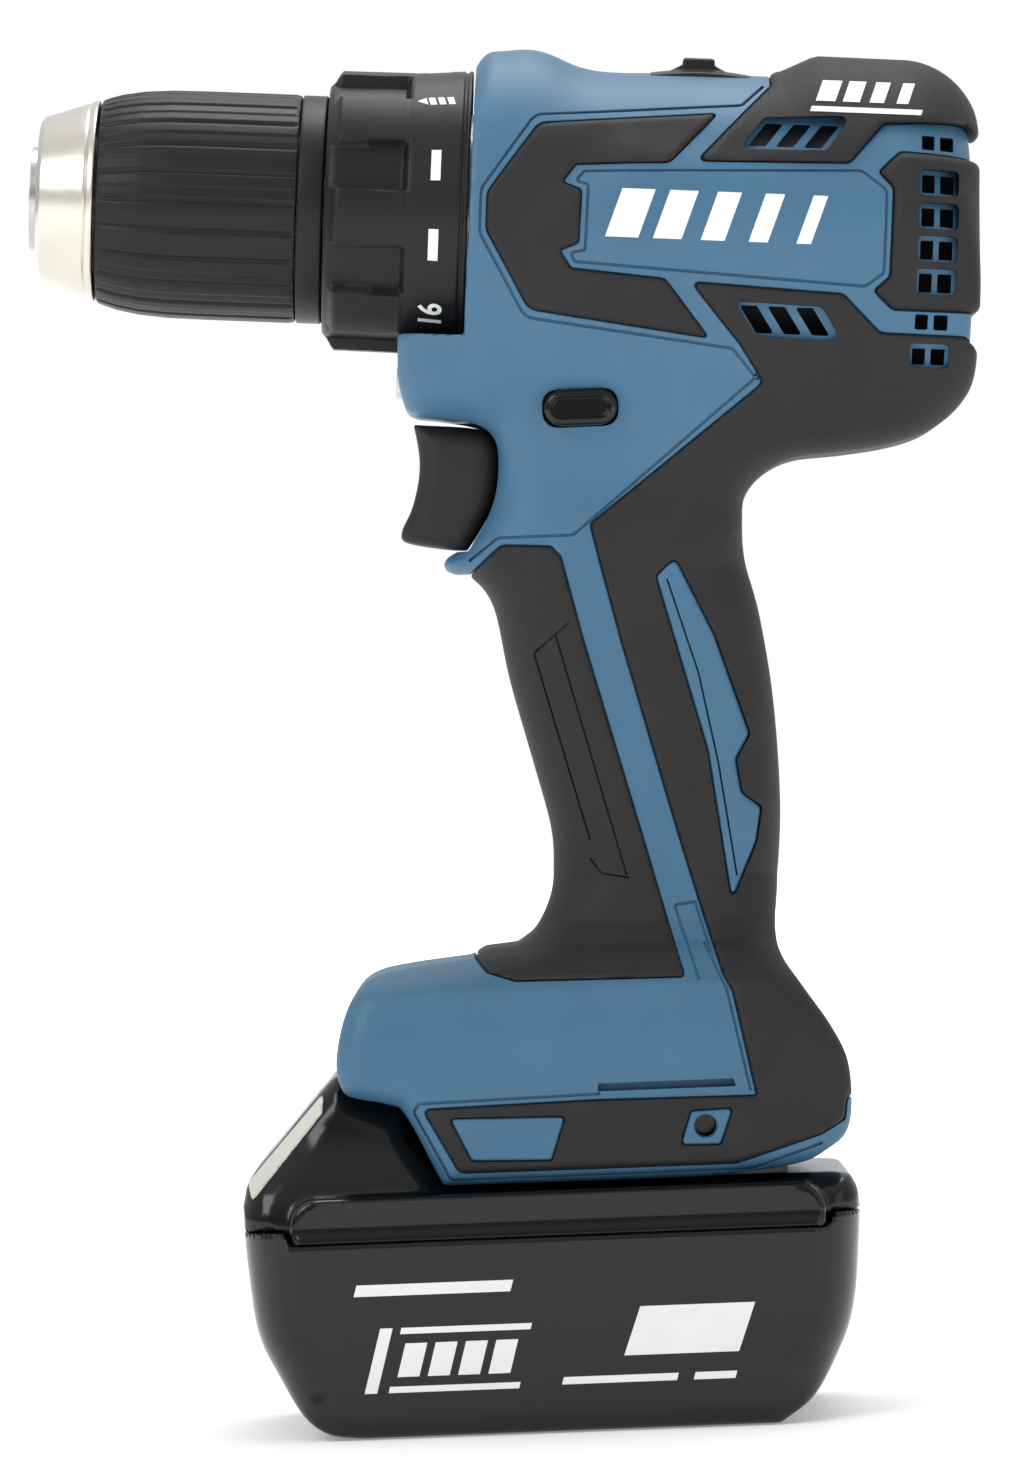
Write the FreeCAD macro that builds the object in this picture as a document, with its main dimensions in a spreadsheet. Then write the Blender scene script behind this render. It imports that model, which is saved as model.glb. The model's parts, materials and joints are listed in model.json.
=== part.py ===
"""Cordless drill driver: a two-speed, clutch-limited drill with a keyless chuck and a slide-on battery.

Two frames are used. The row frame has its origin at the middle of the battery's flat foot, +Z up and the
chuck towards -X. The barrel frame lies along the spindle: its x runs back from the housing's front
edge, its z is up across the barrel, and it leans nose-up by barrel_tilt. Lengths are in millimetres.
"""
import FreeCAD, Part
import math
import os
import re
import Sketcher

V = FreeCAD.Vector

# ------------------------------------------------------------------ driving dimensions
SIZES = {
    # where the barrel frame stands in the row frame
    "barrel_x": -9.0, "barrel_z": 236.0, "barrel_tilt": 4.4,
    # housing
    "shell_wall": 2.6, "pad_seat": 1.2, "pad_proud": 0.3, "barrel_radius": 29.3, "barrel_front": 1.0,
    "barrel_back": 101.0, "ridge_half": 15.0, "ridge_radius": 33.8, "belly_half": 29.0, "base_half": 32.0,
    "nose_hole": 21.2, "boss_radius": 4.2, "screw_radius": 1.45, "screw_head": 2.9, "head_depth": 2.4,
    "screw_back": 11.0, "screw_tip": 10.0, "slip": 0.05, "rib_reach": 31.0,
    # the threaded holes for a belt hook, one on each side of the base
    "hook_x": 30.3, "hook_z": 57.5, "hook_hole": 2.1, "hook_boss": 4.6, "hook_pad_way": 4.2,
    "hook_inner": 24.0, "hook_outer": 32.0,
    # the air slots in the back of the barrel
    "vent_front": 88.4, "vent_back": 94.8, "vent_half": 1.95,
    # gearbox
    "gear_module": 0.8, "sun_teeth": 12, "planet_teeth": 18, "ring_teeth": 48, "gear_play": 0.12,
    "case_radius": 25.0, "case_bore": 23.0, "case_nose": 14.4, "bearing_seat": 12.03, "ring_radius": 22.9,
    "planet_width": 6.0, "pin_radius": 2.0, "carrier_radius": 15.5, "output_ring_front": 6.3,
    "output_ring_back": 17.0, "shift_ring_front": 23.4, "shift_ring_back": 32.4, "output_planets": 10.4,
    "input_planets": 20.8, "race_radius": 12.0, "clutch_plate_radius": 19.8, "clutch_nut_radius": 20.6,
    # motor
    "stator_radius": 25.0, "stator_bore": 13.4, "rotor_radius": 12.9, "shaft_radius": 2.5,
    "motor_front": 42.0, "motor_back": 72.0, "fan_radius": 23.5, "fan_front": 77.0, "fan_blades": 9,
    "motor_race_radius": 8.0, "motor_race_seat": 8.03,
    # spindle and chuck
    "spindle_radius": 5.95, "spindle_front": -52.0, "spindle_back": 6.5, "socket_radius": 6.6,
    "socket_floor": -54.0, "chuck_front": -85.2, "chuck_back": -28.2, "chuck_radius": 19.4,
    "chuck_lip_radius": 10.2, "chuck_nose_radius": 14.2, "chuck_waist_radius": 15.9,
    "chuck_tail_radius": 17.2, "collar_front_radius": 15.6,
    "sleeve_radius": 22.2, "sleeve_bore": 19.6, "sleeve_front": -72.0, "sleeve_back": -32.8,
    "flute_count": 24, "flute_radius": 1.1,
    "jaw_radius": 3.3, "jaw_angle": 16.0, "jaw_length": 24.0, "jaw_tip_x": -68.0, "jaw_tip_offset": 9.2,
    # torque ring
    "chin_shelf": -24.6,
    "dial_front": -27.4, "dial_back": 0.3, "dial_bore": 20.8, "dial_rim": 28.2,
    "dial_front_radius": 25.2, "lug_radius": 27.4, "lug_count": 8, "lug_width": 10.0, "lug_start": 9.0,
    "lug_front": -25.4, "lug_back": -12.2,
    # speed selector: a slide in a shallow recess on the top of the barrel
    "selector_front": 34.6, "selector_back": 55.2, "selector_half": 8.0, "selector_radius": 29.9,
    "selector_floor": 27.9, "nub_front": 41.0, "nub_back": 47.6, "nub_half": 6.0, "nub_radius": 32.4,
    # trigger, switches and lamp
    "trigger_half": 9.5, "trigger_way_low": 170.0, "trigger_way_top": 195.7, "lens_radius": 3.2,
    "lens_rim": 4.2, "lens_front": -12.4, "lens_back": -8.0, "lens_z": -33.4,
    "button_x": 11.8, "button_z": 196.0, "button_radius": 3.5,
    "button_reach": 3.75, "button_half": 24.6,
    # battery
    "pack_half": 37.3, "pack_wall": 2.4, "pack_seam": 40.0, "cell_radius": 9.15, "cell_length": 65.0,
    "cell_pitch": 18.9, "cell_low": 14.5, "cell_high": 33.5, "tongue_half": 23.0, "tongue_front": -14.0,
    "tongue_back": 46.0, "tongue_top": 60.0, "tongue_wall": 2.4, "groove_floor": 20.6, "groove_rim": 25.0,
    "groove_low": 50.6, "groove_high": 54.9, "blade_y": 9.0, "latch_low": 57.0, "latch_travel": 3.5,
    "latch_half": 9.0, "strap_half": 3.5, "strap_inner": 32.5, "strap_outer": 32.8,
}

doc = FreeCAD.newDocument("cordless_drill")
sheet = doc.addObject("Spreadsheet::Sheet", "dims")
for row, (alias, value) in enumerate(SIZES.items(), 1):
    sheet.set(f"A{row}", alias)
    sheet.set(f"B{row}", str(value))
    sheet.setAlias(f"B{row}", alias)
doc.recompute()


def size(alias):
    """A driving dimension, read back from the sheet."""
    return float(sheet.get(alias))


TILT = FreeCAD.Rotation(V(0, 1, 0), size("barrel_tilt"))
BARREL = FreeCAD.Placement(V(size("barrel_x"), 0, size("barrel_z")), TILT)
ROW = FreeCAD.Placement()
ALONG_X = FreeCAD.Rotation(V(0, 1, 0), 90)
ALONG_Y = FreeCAD.Rotation(V(1, 0, 0), -90)
UPRIGHT_XZ = FreeCAD.Rotation(V(1, 0, 0), 90)
UPRIGHT_YZ = FreeCAD.Rotation(V(1, 1, 1), 120)
THIRDS = (0, 120, 240)
PIECES = []


# ------------------------------------------------------------------ small builders
def bind(obj, prop, formula):
    """Bind a property to a formula of sheet aliases, such as 'dial_bore + slip'."""
    named = re.sub(r"[a-z][a-z_]+", lambda word: "dims." + word.group(0), str(formula))
    obj.setExpression(prop, named)


def at(obj, x=0, y=0, z=0, turn=None):
    if turn is not None:
        obj.Placement = FreeCAD.Placement(V(0, 0, 0), turn)
    for axis, value in zip("xyz", (x, y, z)):
        bind(obj, "Placement.Base." + axis, value)
    return obj


def add(kind, name):
    return doc.addObject("Part::" + kind, name)


def rod(name, radius, x0, x1, y=0, z=0):
    """A round bar along x from x0 to x1."""
    bar = add("Cylinder", name)
    bind(bar, "Radius", radius)
    bind(bar, "Height", f"({x1}) - ({x0})")
    return at(bar, x0, y, z, ALONG_X)


def cross_rod(name, radius, y0, y1, x, z):
    """A round bar across the tool, along y from y0 to y1."""
    bar = add("Cylinder", name)
    bind(bar, "Radius", radius)
    bind(bar, "Height", f"({y1}) - ({y0})")
    return at(bar, x, y0, z, ALONG_Y)


def cone(name, radius0, radius1, x0, x1):
    bar = add("Cone", name)
    bind(bar, "Radius1", radius0)
    bind(bar, "Radius2", radius1)
    bind(bar, "Height", f"({x1}) - ({x0})")
    return at(bar, x0, 0, 0, ALONG_X)


def block(name, x0, x1, y0, y1, z0, z1):
    box = add("Box", name)
    bind(box, "Length", f"({x1}) - ({x0})")
    bind(box, "Width", f"({y1}) - ({y0})")
    bind(box, "Height", f"({z1}) - ({z0})")
    return at(box, x0, y0, z0)


def fuse(name, *shapes):
    whole = add("MultiFuse", name)
    whole.Shapes = list(shapes)
    return whole


def common(name, *shapes):
    whole = add("MultiCommon", name)
    whole.Shapes = list(shapes)
    return whole


def cut(name, base, *tools):
    whole = add("Cut", name)
    whole.Base = base
    whole.Tool = tools[0] if len(tools) == 1 else fuse(name + "_tools", *tools)
    return whole


def group(name, *shapes):
    bunch = add("Compound", name)
    bunch.Links = list(shapes)
    return bunch


def tube(name, outer, inner, x0, x1):
    return cut(name, rod(name + "_outer", outer, x0, x1), rod(name + "_bore", inner, f"({x0}) - 1", f"({x1}) + 1"))


def outline(name, points, turn=UPRIGHT_XZ):
    """A closed sketch of straight edges, standing in the XZ plane unless turned."""
    sketch = doc.addObject("Sketcher::SketchObject", name)
    sketch.Placement = FreeCAD.Placement(V(0, 0, 0), turn)
    count = len(points)
    for here, there in zip(points, points[1:] + points[:1]):
        sketch.addGeometry(Part.LineSegment(V(*here, 0), V(*there, 0)), False)
    for edge in range(count):
        sketch.addConstraint(Sketcher.Constraint("Coincident", edge, 2, (edge + 1) % count, 1))
    return sketch


def slab(name, sketch, half, along=V(0, 1, 0)):
    """An outline thickened by half to each side."""
    solid = add("Extrusion", name)
    solid.Base = sketch
    solid.DirMode = "Custom"
    solid.Dir = along
    solid.Solid = True
    solid.Symmetric = True
    bind(solid, "LengthFwd", f"2 * ({half})")
    return solid


def inset(points, depth):
    """A closed outline with each edge moved inwards by depth."""
    count = len(points)
    area = sum(x0 * z1 - x1 * z0 for (x0, z0), (x1, z1) in zip(points, points[1:] + points[:1]))
    inward = depth if area > 0 else -depth
    lines = []
    for (x0, z0), (x1, z1) in zip(points, points[1:] + points[:1]):
        length = math.hypot(x1 - x0, z1 - z0)
        across_x, across_z = -(z1 - z0) / length, (x1 - x0) / length
        lines.append((across_x, across_z, across_x * x0 + across_z * z0 + inward))
    corners = []
    for edge in range(count):
        (a0, b0, c0), (a1, b1, c1) = lines[edge - 1], lines[edge]
        spread = a0 * b1 - a1 * b0
        corners.append(((c0 * b1 - c1 * b0) / spread, (a0 * c1 - a1 * c0) / spread))
    return corners


def piece(label, obj, frame=ROW):
    """Finish a sub-part: its label names its file, and its placement puts it in the row frame."""
    obj.Label = label
    obj.Placement = frame
    PIECES.append(obj)
    return obj


# ------------------------------------------------------------------ housing envelope
RIDGE_EDGE = [(1, 20), (1, 27.6), (1.8, 30.4), (5.3, 32.3), (11, 32.8), (17, 31.4), (22, 29.5), (58, 29.1),
              (62.3, 31), (66, 33.2), (84, 33.6), (91.7, 32.3), (96, 29.8), (99, 25.7), (99.8, 20)]
BELLY_EDGE = [(-11.5, -24), (-12, -36), (-10, -39.6), (4, -41.7), (10, -46), (57, -53), (60.4, -48.3),
              (65.2, -45.6), (75, -43.9), (82.8, -42.3), (89, -40.6), (95.3, -36.4), (98.5, -32.4),
              (101.4, -24.5), (101.8, -5), (101.4, 8), (98.5, 17), (30, 17), (1, 10), (1, -20.5)]
BELLY_FRONT = [(-29, 18), (-29, -8), (-21.5, -38), (-17, -48), (-15, -56), (15, -56), (17, -48),
               (21.5, -38), (29, -8), (29, 18)]
BASE_EDGE = [(-39.8, 68.5), (-40.2, 72), (-38.8, 80), (-35, 87.6), (-30.2, 90.4), (-12, 92.6), (-3, 95),
             (20, 97), (45.6, 95), (47.4, 88), (53, 79.7), (58.4, 68), (58.5, 60), (56.5, 54), (52.7, 51),
             (38.9, 48.4), (-20.2, 47.7), (-26.5, 60.3), (-28.7, 63), (-34.4, 64.8)]
BASE_FRONT = [(-32, 45), (-32, 77), (-29, 85), (-21, 94), (-19, 98), (19, 98), (21, 94), (29, 85), (32, 77),
              (32, 45)]
# height, front edge, back edge, half width and corner radius of the handle, from its root downwards
HANDLE_SECTIONS = [(197, -4, 50, 18), (178, -6.6, 42.6, 16.5), (165, -8.2, 43, 16.5), (150, -4.8, 46, 16.3),
                   (129, 0, 48, 16), (113, 3.3, 47.6, 16), (100, 1.5, 46.3, 17), (88, -8, 47.4, 20)]
HANDLE_CORNER = 12.5


def rounded_section(name, level, front, back, half, corner):
    """One level section of the handle: a rectangle with round corners, as a sketch."""
    sketch = doc.addObject("Sketcher::SketchObject", name)
    sketch.Placement = FreeCAD.Placement(V(0, 0, level), FreeCAD.Rotation())
    lines = [((front + corner, -half), (back - corner, -half)), ((back, corner - half), (back, half - corner)),
             ((back - corner, half), (front + corner, half)), ((front, half - corner), (front, corner - half))]
    centres = [(back - corner, corner - half, -90), (back - corner, half - corner, 0),
               (front + corner, half - corner, 90), (front + corner, corner - half, 180)]
    for (start, end), (x, y, angle) in zip(lines, centres):
        sketch.addGeometry(Part.LineSegment(V(*start, 0), V(*end, 0)), False)
        circle = Part.Circle(V(x, y, 0), V(0, 0, 1), corner)
        sketch.addGeometry(Part.ArcOfCircle(circle, math.radians(angle), math.radians(angle + 90)), False)
    return sketch


def envelope(name, amount, depth):
    """The housing's outer form moved inwards by depth, which amount gives as a formula of the sheet."""
    barrel = rod(name + "_barrel", f"barrel_radius - ({amount})", f"barrel_front + ({amount})",
                 f"barrel_back - ({amount})")

    def side_slab(part, edge, half):
        return slab(f"{name}_{part}_slab", outline(f"{name}_{part}_edge", inset(edge, depth)), half)

    def cross_slab(part, edge, half):
        sketch = outline(f"{name}_{part}_front", inset(edge, depth), UPRIGHT_YZ)
        return slab(f"{name}_{part}_cross", sketch, half, V(1, 0, 0))

    ridge = common(name + "_ridge", side_slab("ridge", RIDGE_EDGE, "ridge_half"),
                   rod(name + "_ridge_round", f"ridge_radius - ({amount})", -1, 103))
    belly = common(name + "_belly", side_slab("belly", BELLY_EDGE, f"belly_half - ({amount})"),
                   cross_slab("belly", BELLY_FRONT, 130))
    top = fuse(name + "_top", barrel, ridge, belly)
    top.Placement = BARREL
    handle = add("Loft", name + "_handle")
    handle.Sections = [
        rounded_section(f"{name}_section_{level}", level, front + depth, back - depth, half - depth,
                        HANDLE_CORNER - depth)
        for level, front, back, half in HANDLE_SECTIONS]
    handle.Solid = True
    base = common(name + "_base", side_slab("base", BASE_EDGE, f"base_half - ({amount})"),
                  cross_slab("base", BASE_FRONT, 70))
    return fuse(name, top, handle, base)


# ------------------------------------------------------------------ outlines of the rubber pads
FRONT_PAD_EDGE = [(47.7, 20), (25.3, 18), (14.6, 16.8), (12.1, 15.1), (4.3, 3.2), (4.2, -1.2), (4.8, -5.3),
                  (11.9, -17), (15, -19.6), (47.4, -23.3), (38.5, -12.9), (20.5, -11.4), (18.4, -7.6),
                  (21.9, -6.5), (22.1, 3.9), (18.5, 5.5), (21.7, 9), (38.6, 9.9)]
REAR_GUARD_EDGE = [(44.3, 10.6), (73.8, 10.9), (80, 16.8), (97.4, 16.8), (104, 17.5), (104, 36), (58.2, 36),
                   (58.1, 26.2)]
REAR_PAD_EDGE = [(79.6, 9.8), (84, 13.2), (104, 12.6), (104, -16.6), (83.7, -16.8), (79.4, -13.5),
                 (82, -10), (82.2, 6.1)]
BELLY_PAD_EDGE = [(44.4, -13.2), (73.9, -14.8), (80.5, -22.1), (104, -22.4), (104, -60), (60.2, -60),
                  (58.7, -31.4)]
GRIP_EDGE = [(46.6, 199.5), (12.9, 174.6), (14.1, 167.1), (27.4, 114.3), (34.8, 86.4), (36.7, 83.1),
             (40.8, 62.8), (-23.8, 62.5), (-17.1, 50.7), (62, 50.7), (62, 100), (52, 150), (46, 176)]
FRONT_GRIP_EDGE = [(-12, 165.5), (-4, 170.4), (5.6, 169.8), (6.9, 167.5), (10.4, 152.1), (19.9, 115.7),
                   (24.6, 97.6), (27, 88.5), (-14, 88.5), (-14, 93)]

# the sides of the tool: label, and the sign of y there
SIDES = {"left": -1, "right": 1}
# screws that close the shells: x and z in the row frame
SCREW_SPOTS = [(68.1, 195.0), (47.9, 193.5), (-11.5, 202.0), (3.5, 163.0), (40.0, 140.0), (10.5, 108.0),
               (-31.0, 82.0), (49.5, 76.0)]
VENT_ROWS = (7.75, 1.3, -5.05, -11.4)


def sided(name, shape, side):
    """The half of a shape that lies on one side of the mid-plane."""
    low, high = ("-60", "0") if SIDES[side] < 0 else ("0", "60")
    return common(name, shape, block(name + "_half", -130, 130, low, high, -10, 300))


def span(inner, outer, side):
    """The low and high y of something that lies between two distances from the mid-plane on one side."""
    return (inner, outer) if SIDES[side] > 0 else (f"-({outer})", f"-({inner})")


def hook_rod(name, radius, inner, outer, side):
    """A round bar around the belt hook's hole on one side."""
    return cross_rod(name, radius, *span(inner, outer, side), "hook_x", "hook_z")


def trigger_slot(name):
    """The room that the trigger moves in."""
    return block(name, -16, 9, "-trigger_half - 0.7", "trigger_half + 0.7", "trigger_way_low", "trigger_way_top")


def in_barrel(shape):
    """Place a construction shape by the barrel frame."""
    shape.Placement = BARREL
    return shape


def build_housing():
    outer = envelope("outer", "0", 0)
    seat = envelope("seat", "pad_seat", size("pad_seat"))
    cavity = envelope("cavity", "shell_wall", size("shell_wall"))
    proud = envelope("proud", "-pad_proud", -size("pad_proud"))
    skin = cut("pad_skin", proud, seat)

    nose = in_barrel(fuse("nose_way", rod("nose_way_hole", "nose_hole", -4, 6),
                          rod("dial_way", "dial_rim + 0.6", -14, 0.9),
                          block("chin_shelf_way", -14, 0.9, -40, 40, "chin_shelf", 0)))
    slot = in_barrel(fuse(
        "selector_way",
        common("selector_recess", tube("selector_recess_ring", 36, "selector_floor - 0.2", 29.4,
                                       "selector_back + 0.4"),
               block("selector_recess_box", 29.4, "selector_back + 0.4", "-selector_half - 0.4",
                     "selector_half + 0.4", 20, 40)),
        block("selector_slot", 35.5, 47.0, -2.4, 2.4, 24, 31), block("fork_way", 20, 47.0, -2.6, 2.6, 24.8, 26.7)))
    vents = in_barrel(fuse("vent_ways", *[
        block(f"rear_vent_{row}", "vent_front", "vent_back", -40, 40, f"{z} - vent_half", f"{z} + vent_half")
        for row, z in enumerate(VENT_ROWS)]))
    trigger_way = trigger_slot("trigger_way")
    button_way = button_bar("button_way", "button_radius + 0.25", -34, 34)
    lens_way = in_barrel(fuse("lens_way", rod("lens_hole", "lens_radius + slip", -14, -4, 0, "lens_z"),
                              rod("lens_rim_way", "lens_rim + slip", "lens_back - 1", -4, 0, "lens_z")))
    channel = block("battery_channel", -46, 47, "-tongue_half - 0.6", "tongue_half + 0.6", 44, 60.4)
    open_floor = block("open_floor", -46, 50, -28, 28, 44, 50.4)
    ways = [nose, slot, vents, trigger_way, button_way, lens_way, channel, open_floor]

    bosses = [cross_rod(f"boss_{spot}", "boss_radius", -34, 34, x, z) for spot, (x, z) in enumerate(SCREW_SPOTS)]
    hook_bosses = [hook_rod(f"hook_boss_{side}", "hook_boss", "hook_inner - 0.3", "hook_outer", side)
                   for side in SIDES]
    ribs = in_barrel(fuse(
        "ribs", tube("motor_rib_front", "rib_reach", "stator_radius + slip", "motor_front + 3", "motor_front + 5"),
        tube("motor_rib_back", "rib_reach", "stator_radius + slip", "motor_back - 4", "motor_back - 2"),
        tube("bearing_rib", "rib_reach", "motor_race_seat", 85, 88.5),
        tube("gearbox_rib", "rib_reach", "case_radius + slip", 26, 28)))
    rails = [block(f"rail_{side}", "tongue_front", "tongue_back", *span("groove_floor + 0.4", "groove_rim", side),
                   "groove_low + 0.4", "groove_high - 0.4") for side in SIDES]
    solid_bits = common("bosses_and_ribs", outer, fuse("bosses_and_ribs_all", ribs, *bosses, *hook_bosses))
    case = cut("case_open", fuse("case_filled", cut("case_hollow", outer, cavity), solid_bits), *ways)
    case = fuse("case_with_rails", case, *rails)
    holes = [cross_rod(f"screw_way_{spot}", "screw_radius + slip", -10.5, 34, x, z)
             for spot, (x, z) in enumerate(SCREW_SPOTS)]
    holes += [cross_rod(f"head_way_{spot}", "screw_head + 0.2", "screw_back", 40, x, z)
              for spot, (x, z) in enumerate(SCREW_SPOTS)]
    holes += [hook_rod(f"hook_way_{side}", "hook_hole", "hook_inner", "hook_outer + 2", side) for side in SIDES]

    def pad(name, edge, side, tilted, *openings):
        prism = slab(name + "_prism", outline(name + "_edge", edge), 45)
        if tilted:
            in_barrel(prism)
        whole = common(name + "_whole", skin, prism)
        if openings:
            whole = cut(name + "_opened", whole, *openings)
        return sided(name, whole, side)

    head_holes = [cross_rod(f"pad_head_way_{spot}", "screw_head + 0.2", "screw_back", 40, x, z)
                  for spot, (x, z) in enumerate(SCREW_SPOTS)]
    hook_ways = [hook_rod(f"pad_hook_way_{side}", "hook_pad_way", "hook_inner + 4", "hook_outer + 4", side)
                 for side in SIDES]
    grip_ways = [*head_holes, *hook_ways, trigger_slot("grip_trigger_way"),
                 block("grip_channel_way", -46, 50, -28, 28, 44, 60.4)]
    pads = {}
    for side in SIDES:
        pads[side] = [
            piece(f"{side}_front_pad", pad(f"{side}_front_body", FRONT_PAD_EDGE, side, True)),
            piece(f"{side}_rear_guard", group(
                f"{side}_guard_set", pad(f"{side}_guard_body", REAR_GUARD_EDGE, side, True),
                pad(f"{side}_rear_body", REAR_PAD_EDGE, side, True, vents))),
            piece(f"{side}_grip", group(
                f"{side}_grip_set", pad(f"{side}_belly_body", BELLY_PAD_EDGE, side, True, *head_holes),
                pad(f"{side}_back_body", GRIP_EDGE, side, False, *grip_ways),
                pad(f"{side}_finger_body", FRONT_GRIP_EDGE, side, False, *grip_ways)))]
    for side in SIDES:
        half = sided(f"{side}_shell_half", case, side)
        piece(f"{side}_housing", cut(f"{side}_shell", half, *pads[side], *holes))

    screws = []
    for spot, (x, z) in enumerate(SCREW_SPOTS):
        screws.append(fuse(f"screw_{spot}", cross_rod(f"screw_{spot}_shank", "screw_radius", "-screw_tip",
                                                      "screw_back", x, z),
                           cross_rod(f"screw_{spot}_head", "screw_head", "screw_back",
                                     "screw_back + head_depth", x, z)))
    piece("housing_screws", group("screw_set", *screws))


def button_bar(name, radius, y0, y1):
    """An oval bar across the tool: the way of the direction button, or the button itself."""
    ends = [cross_rod(f"{name}_end_{sign}", radius, y0, y1, f"button_x + ({sign}) * button_reach", "button_z")
            for sign in (-1, 1)]
    middle = block(name + "_middle", "button_x - button_reach", "button_x + button_reach", y0, y1,
                   f"button_z - ({radius})", f"button_z + ({radius})")
    return fuse(name, middle, *ends)


# ------------------------------------------------------------------ gears
PRESSURE_ANGLE = math.radians(25)
FLANK_STEPS = 4


def involute(angle):
    return math.tan(angle) - angle


def gear_wire(teeth, addendum, dedendum, play, turn=0.0):
    """A gear's outline in the YZ plane, its flanks true involutes; play thins every tooth."""
    module = size("gear_module")
    pitch_radius = module * teeth / 2
    base_radius = pitch_radius * math.cos(PRESSURE_ANGLE)
    tip, root = pitch_radius + addendum * module, pitch_radius - dedendum * module
    half_tooth = math.pi / (2 * teeth) - play / (2 * pitch_radius)
    low = max(root, base_radius)
    flank = [low + (tip - low) * step / FLANK_STEPS for step in range(FLANK_STEPS + 1)]

    def half_angle(radius):
        return half_tooth + involute(PRESSURE_ANGLE) - involute(math.acos(min(1.0, base_radius / radius)))

    points = []
    for tooth in range(teeth):
        centre = 2 * math.pi * tooth / teeth + math.radians(turn)
        rising = [(radius, centre - half_angle(radius)) for radius in flank]
        falling = [(radius, centre + half_angle(radius)) for radius in reversed(flank)]
        if root < base_radius:
            rising.insert(0, (root, rising[0][1]))
            falling.append((root, falling[-1][1]))
        points += rising + falling
    corners = [V(0, radius * math.cos(angle), radius * math.sin(angle)) for radius, angle in points]
    return Part.makePolygon(corners + corners[:1])


def toothed(name, teeth, x0, x1, turn=0.0, y=0.0, z=0.0, ring=False):
    """A toothed bar from x0 to x1: a gear's body, or with ring the toothed hole of a ring gear."""
    play = -size("gear_play") if ring else size("gear_play")
    addendum, dedendum = (1.1, 0.8) if ring else (0.8, 1.1)
    face = Part.Face(gear_wire(teeth, addendum, dedendum, play, turn))
    solid = face.extrude(V(x1 - x0, 0, 0))
    solid.translate(V(x0, y, z))
    feature = add("Feature", name)
    feature.Shape = solid
    return feature


def planet_place(turn):
    """Where a planet's pin stands around the barrel axis."""
    reach = size("gear_module") * (size("sun_teeth") + size("planet_teeth")) / 2
    return reach * math.cos(math.radians(turn)), reach * math.sin(math.radians(turn))


def planets(stage, x0):
    teeth = int(size("planet_teeth"))
    for number, turn in enumerate(THIRDS, 1):
        y, z = planet_place(turn)
        name = f"planet_{stage}_{number}"
        gear = toothed(name + "_teeth", teeth, x0, x0 + size("planet_width"), turn + 180 / teeth, y, z)
        bore = rod(name + "_bore", "pin_radius + slip", x0 - 1, f"{x0} + planet_width + 1", y, z)
        piece(name, cut(name + "_body", gear, bore), BARREL)


def carrier_pins(name, x0, x1):
    return [rod(f"{name}_pin_{turn}", "pin_radius", x0, x1, *planet_place(turn)) for turn in THIRDS]


def ring_gear(label, x0, x1, *extra):
    teeth = int(size("ring_teeth"))
    hole = toothed(label + "_teeth", teeth, x0 - 1, x1 + 1, 180 / teeth, ring=True)
    piece(label, cut(label + "_body", rod(label + "_rim", "ring_radius", x0, x1), hole, *extra), BARREL)


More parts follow.
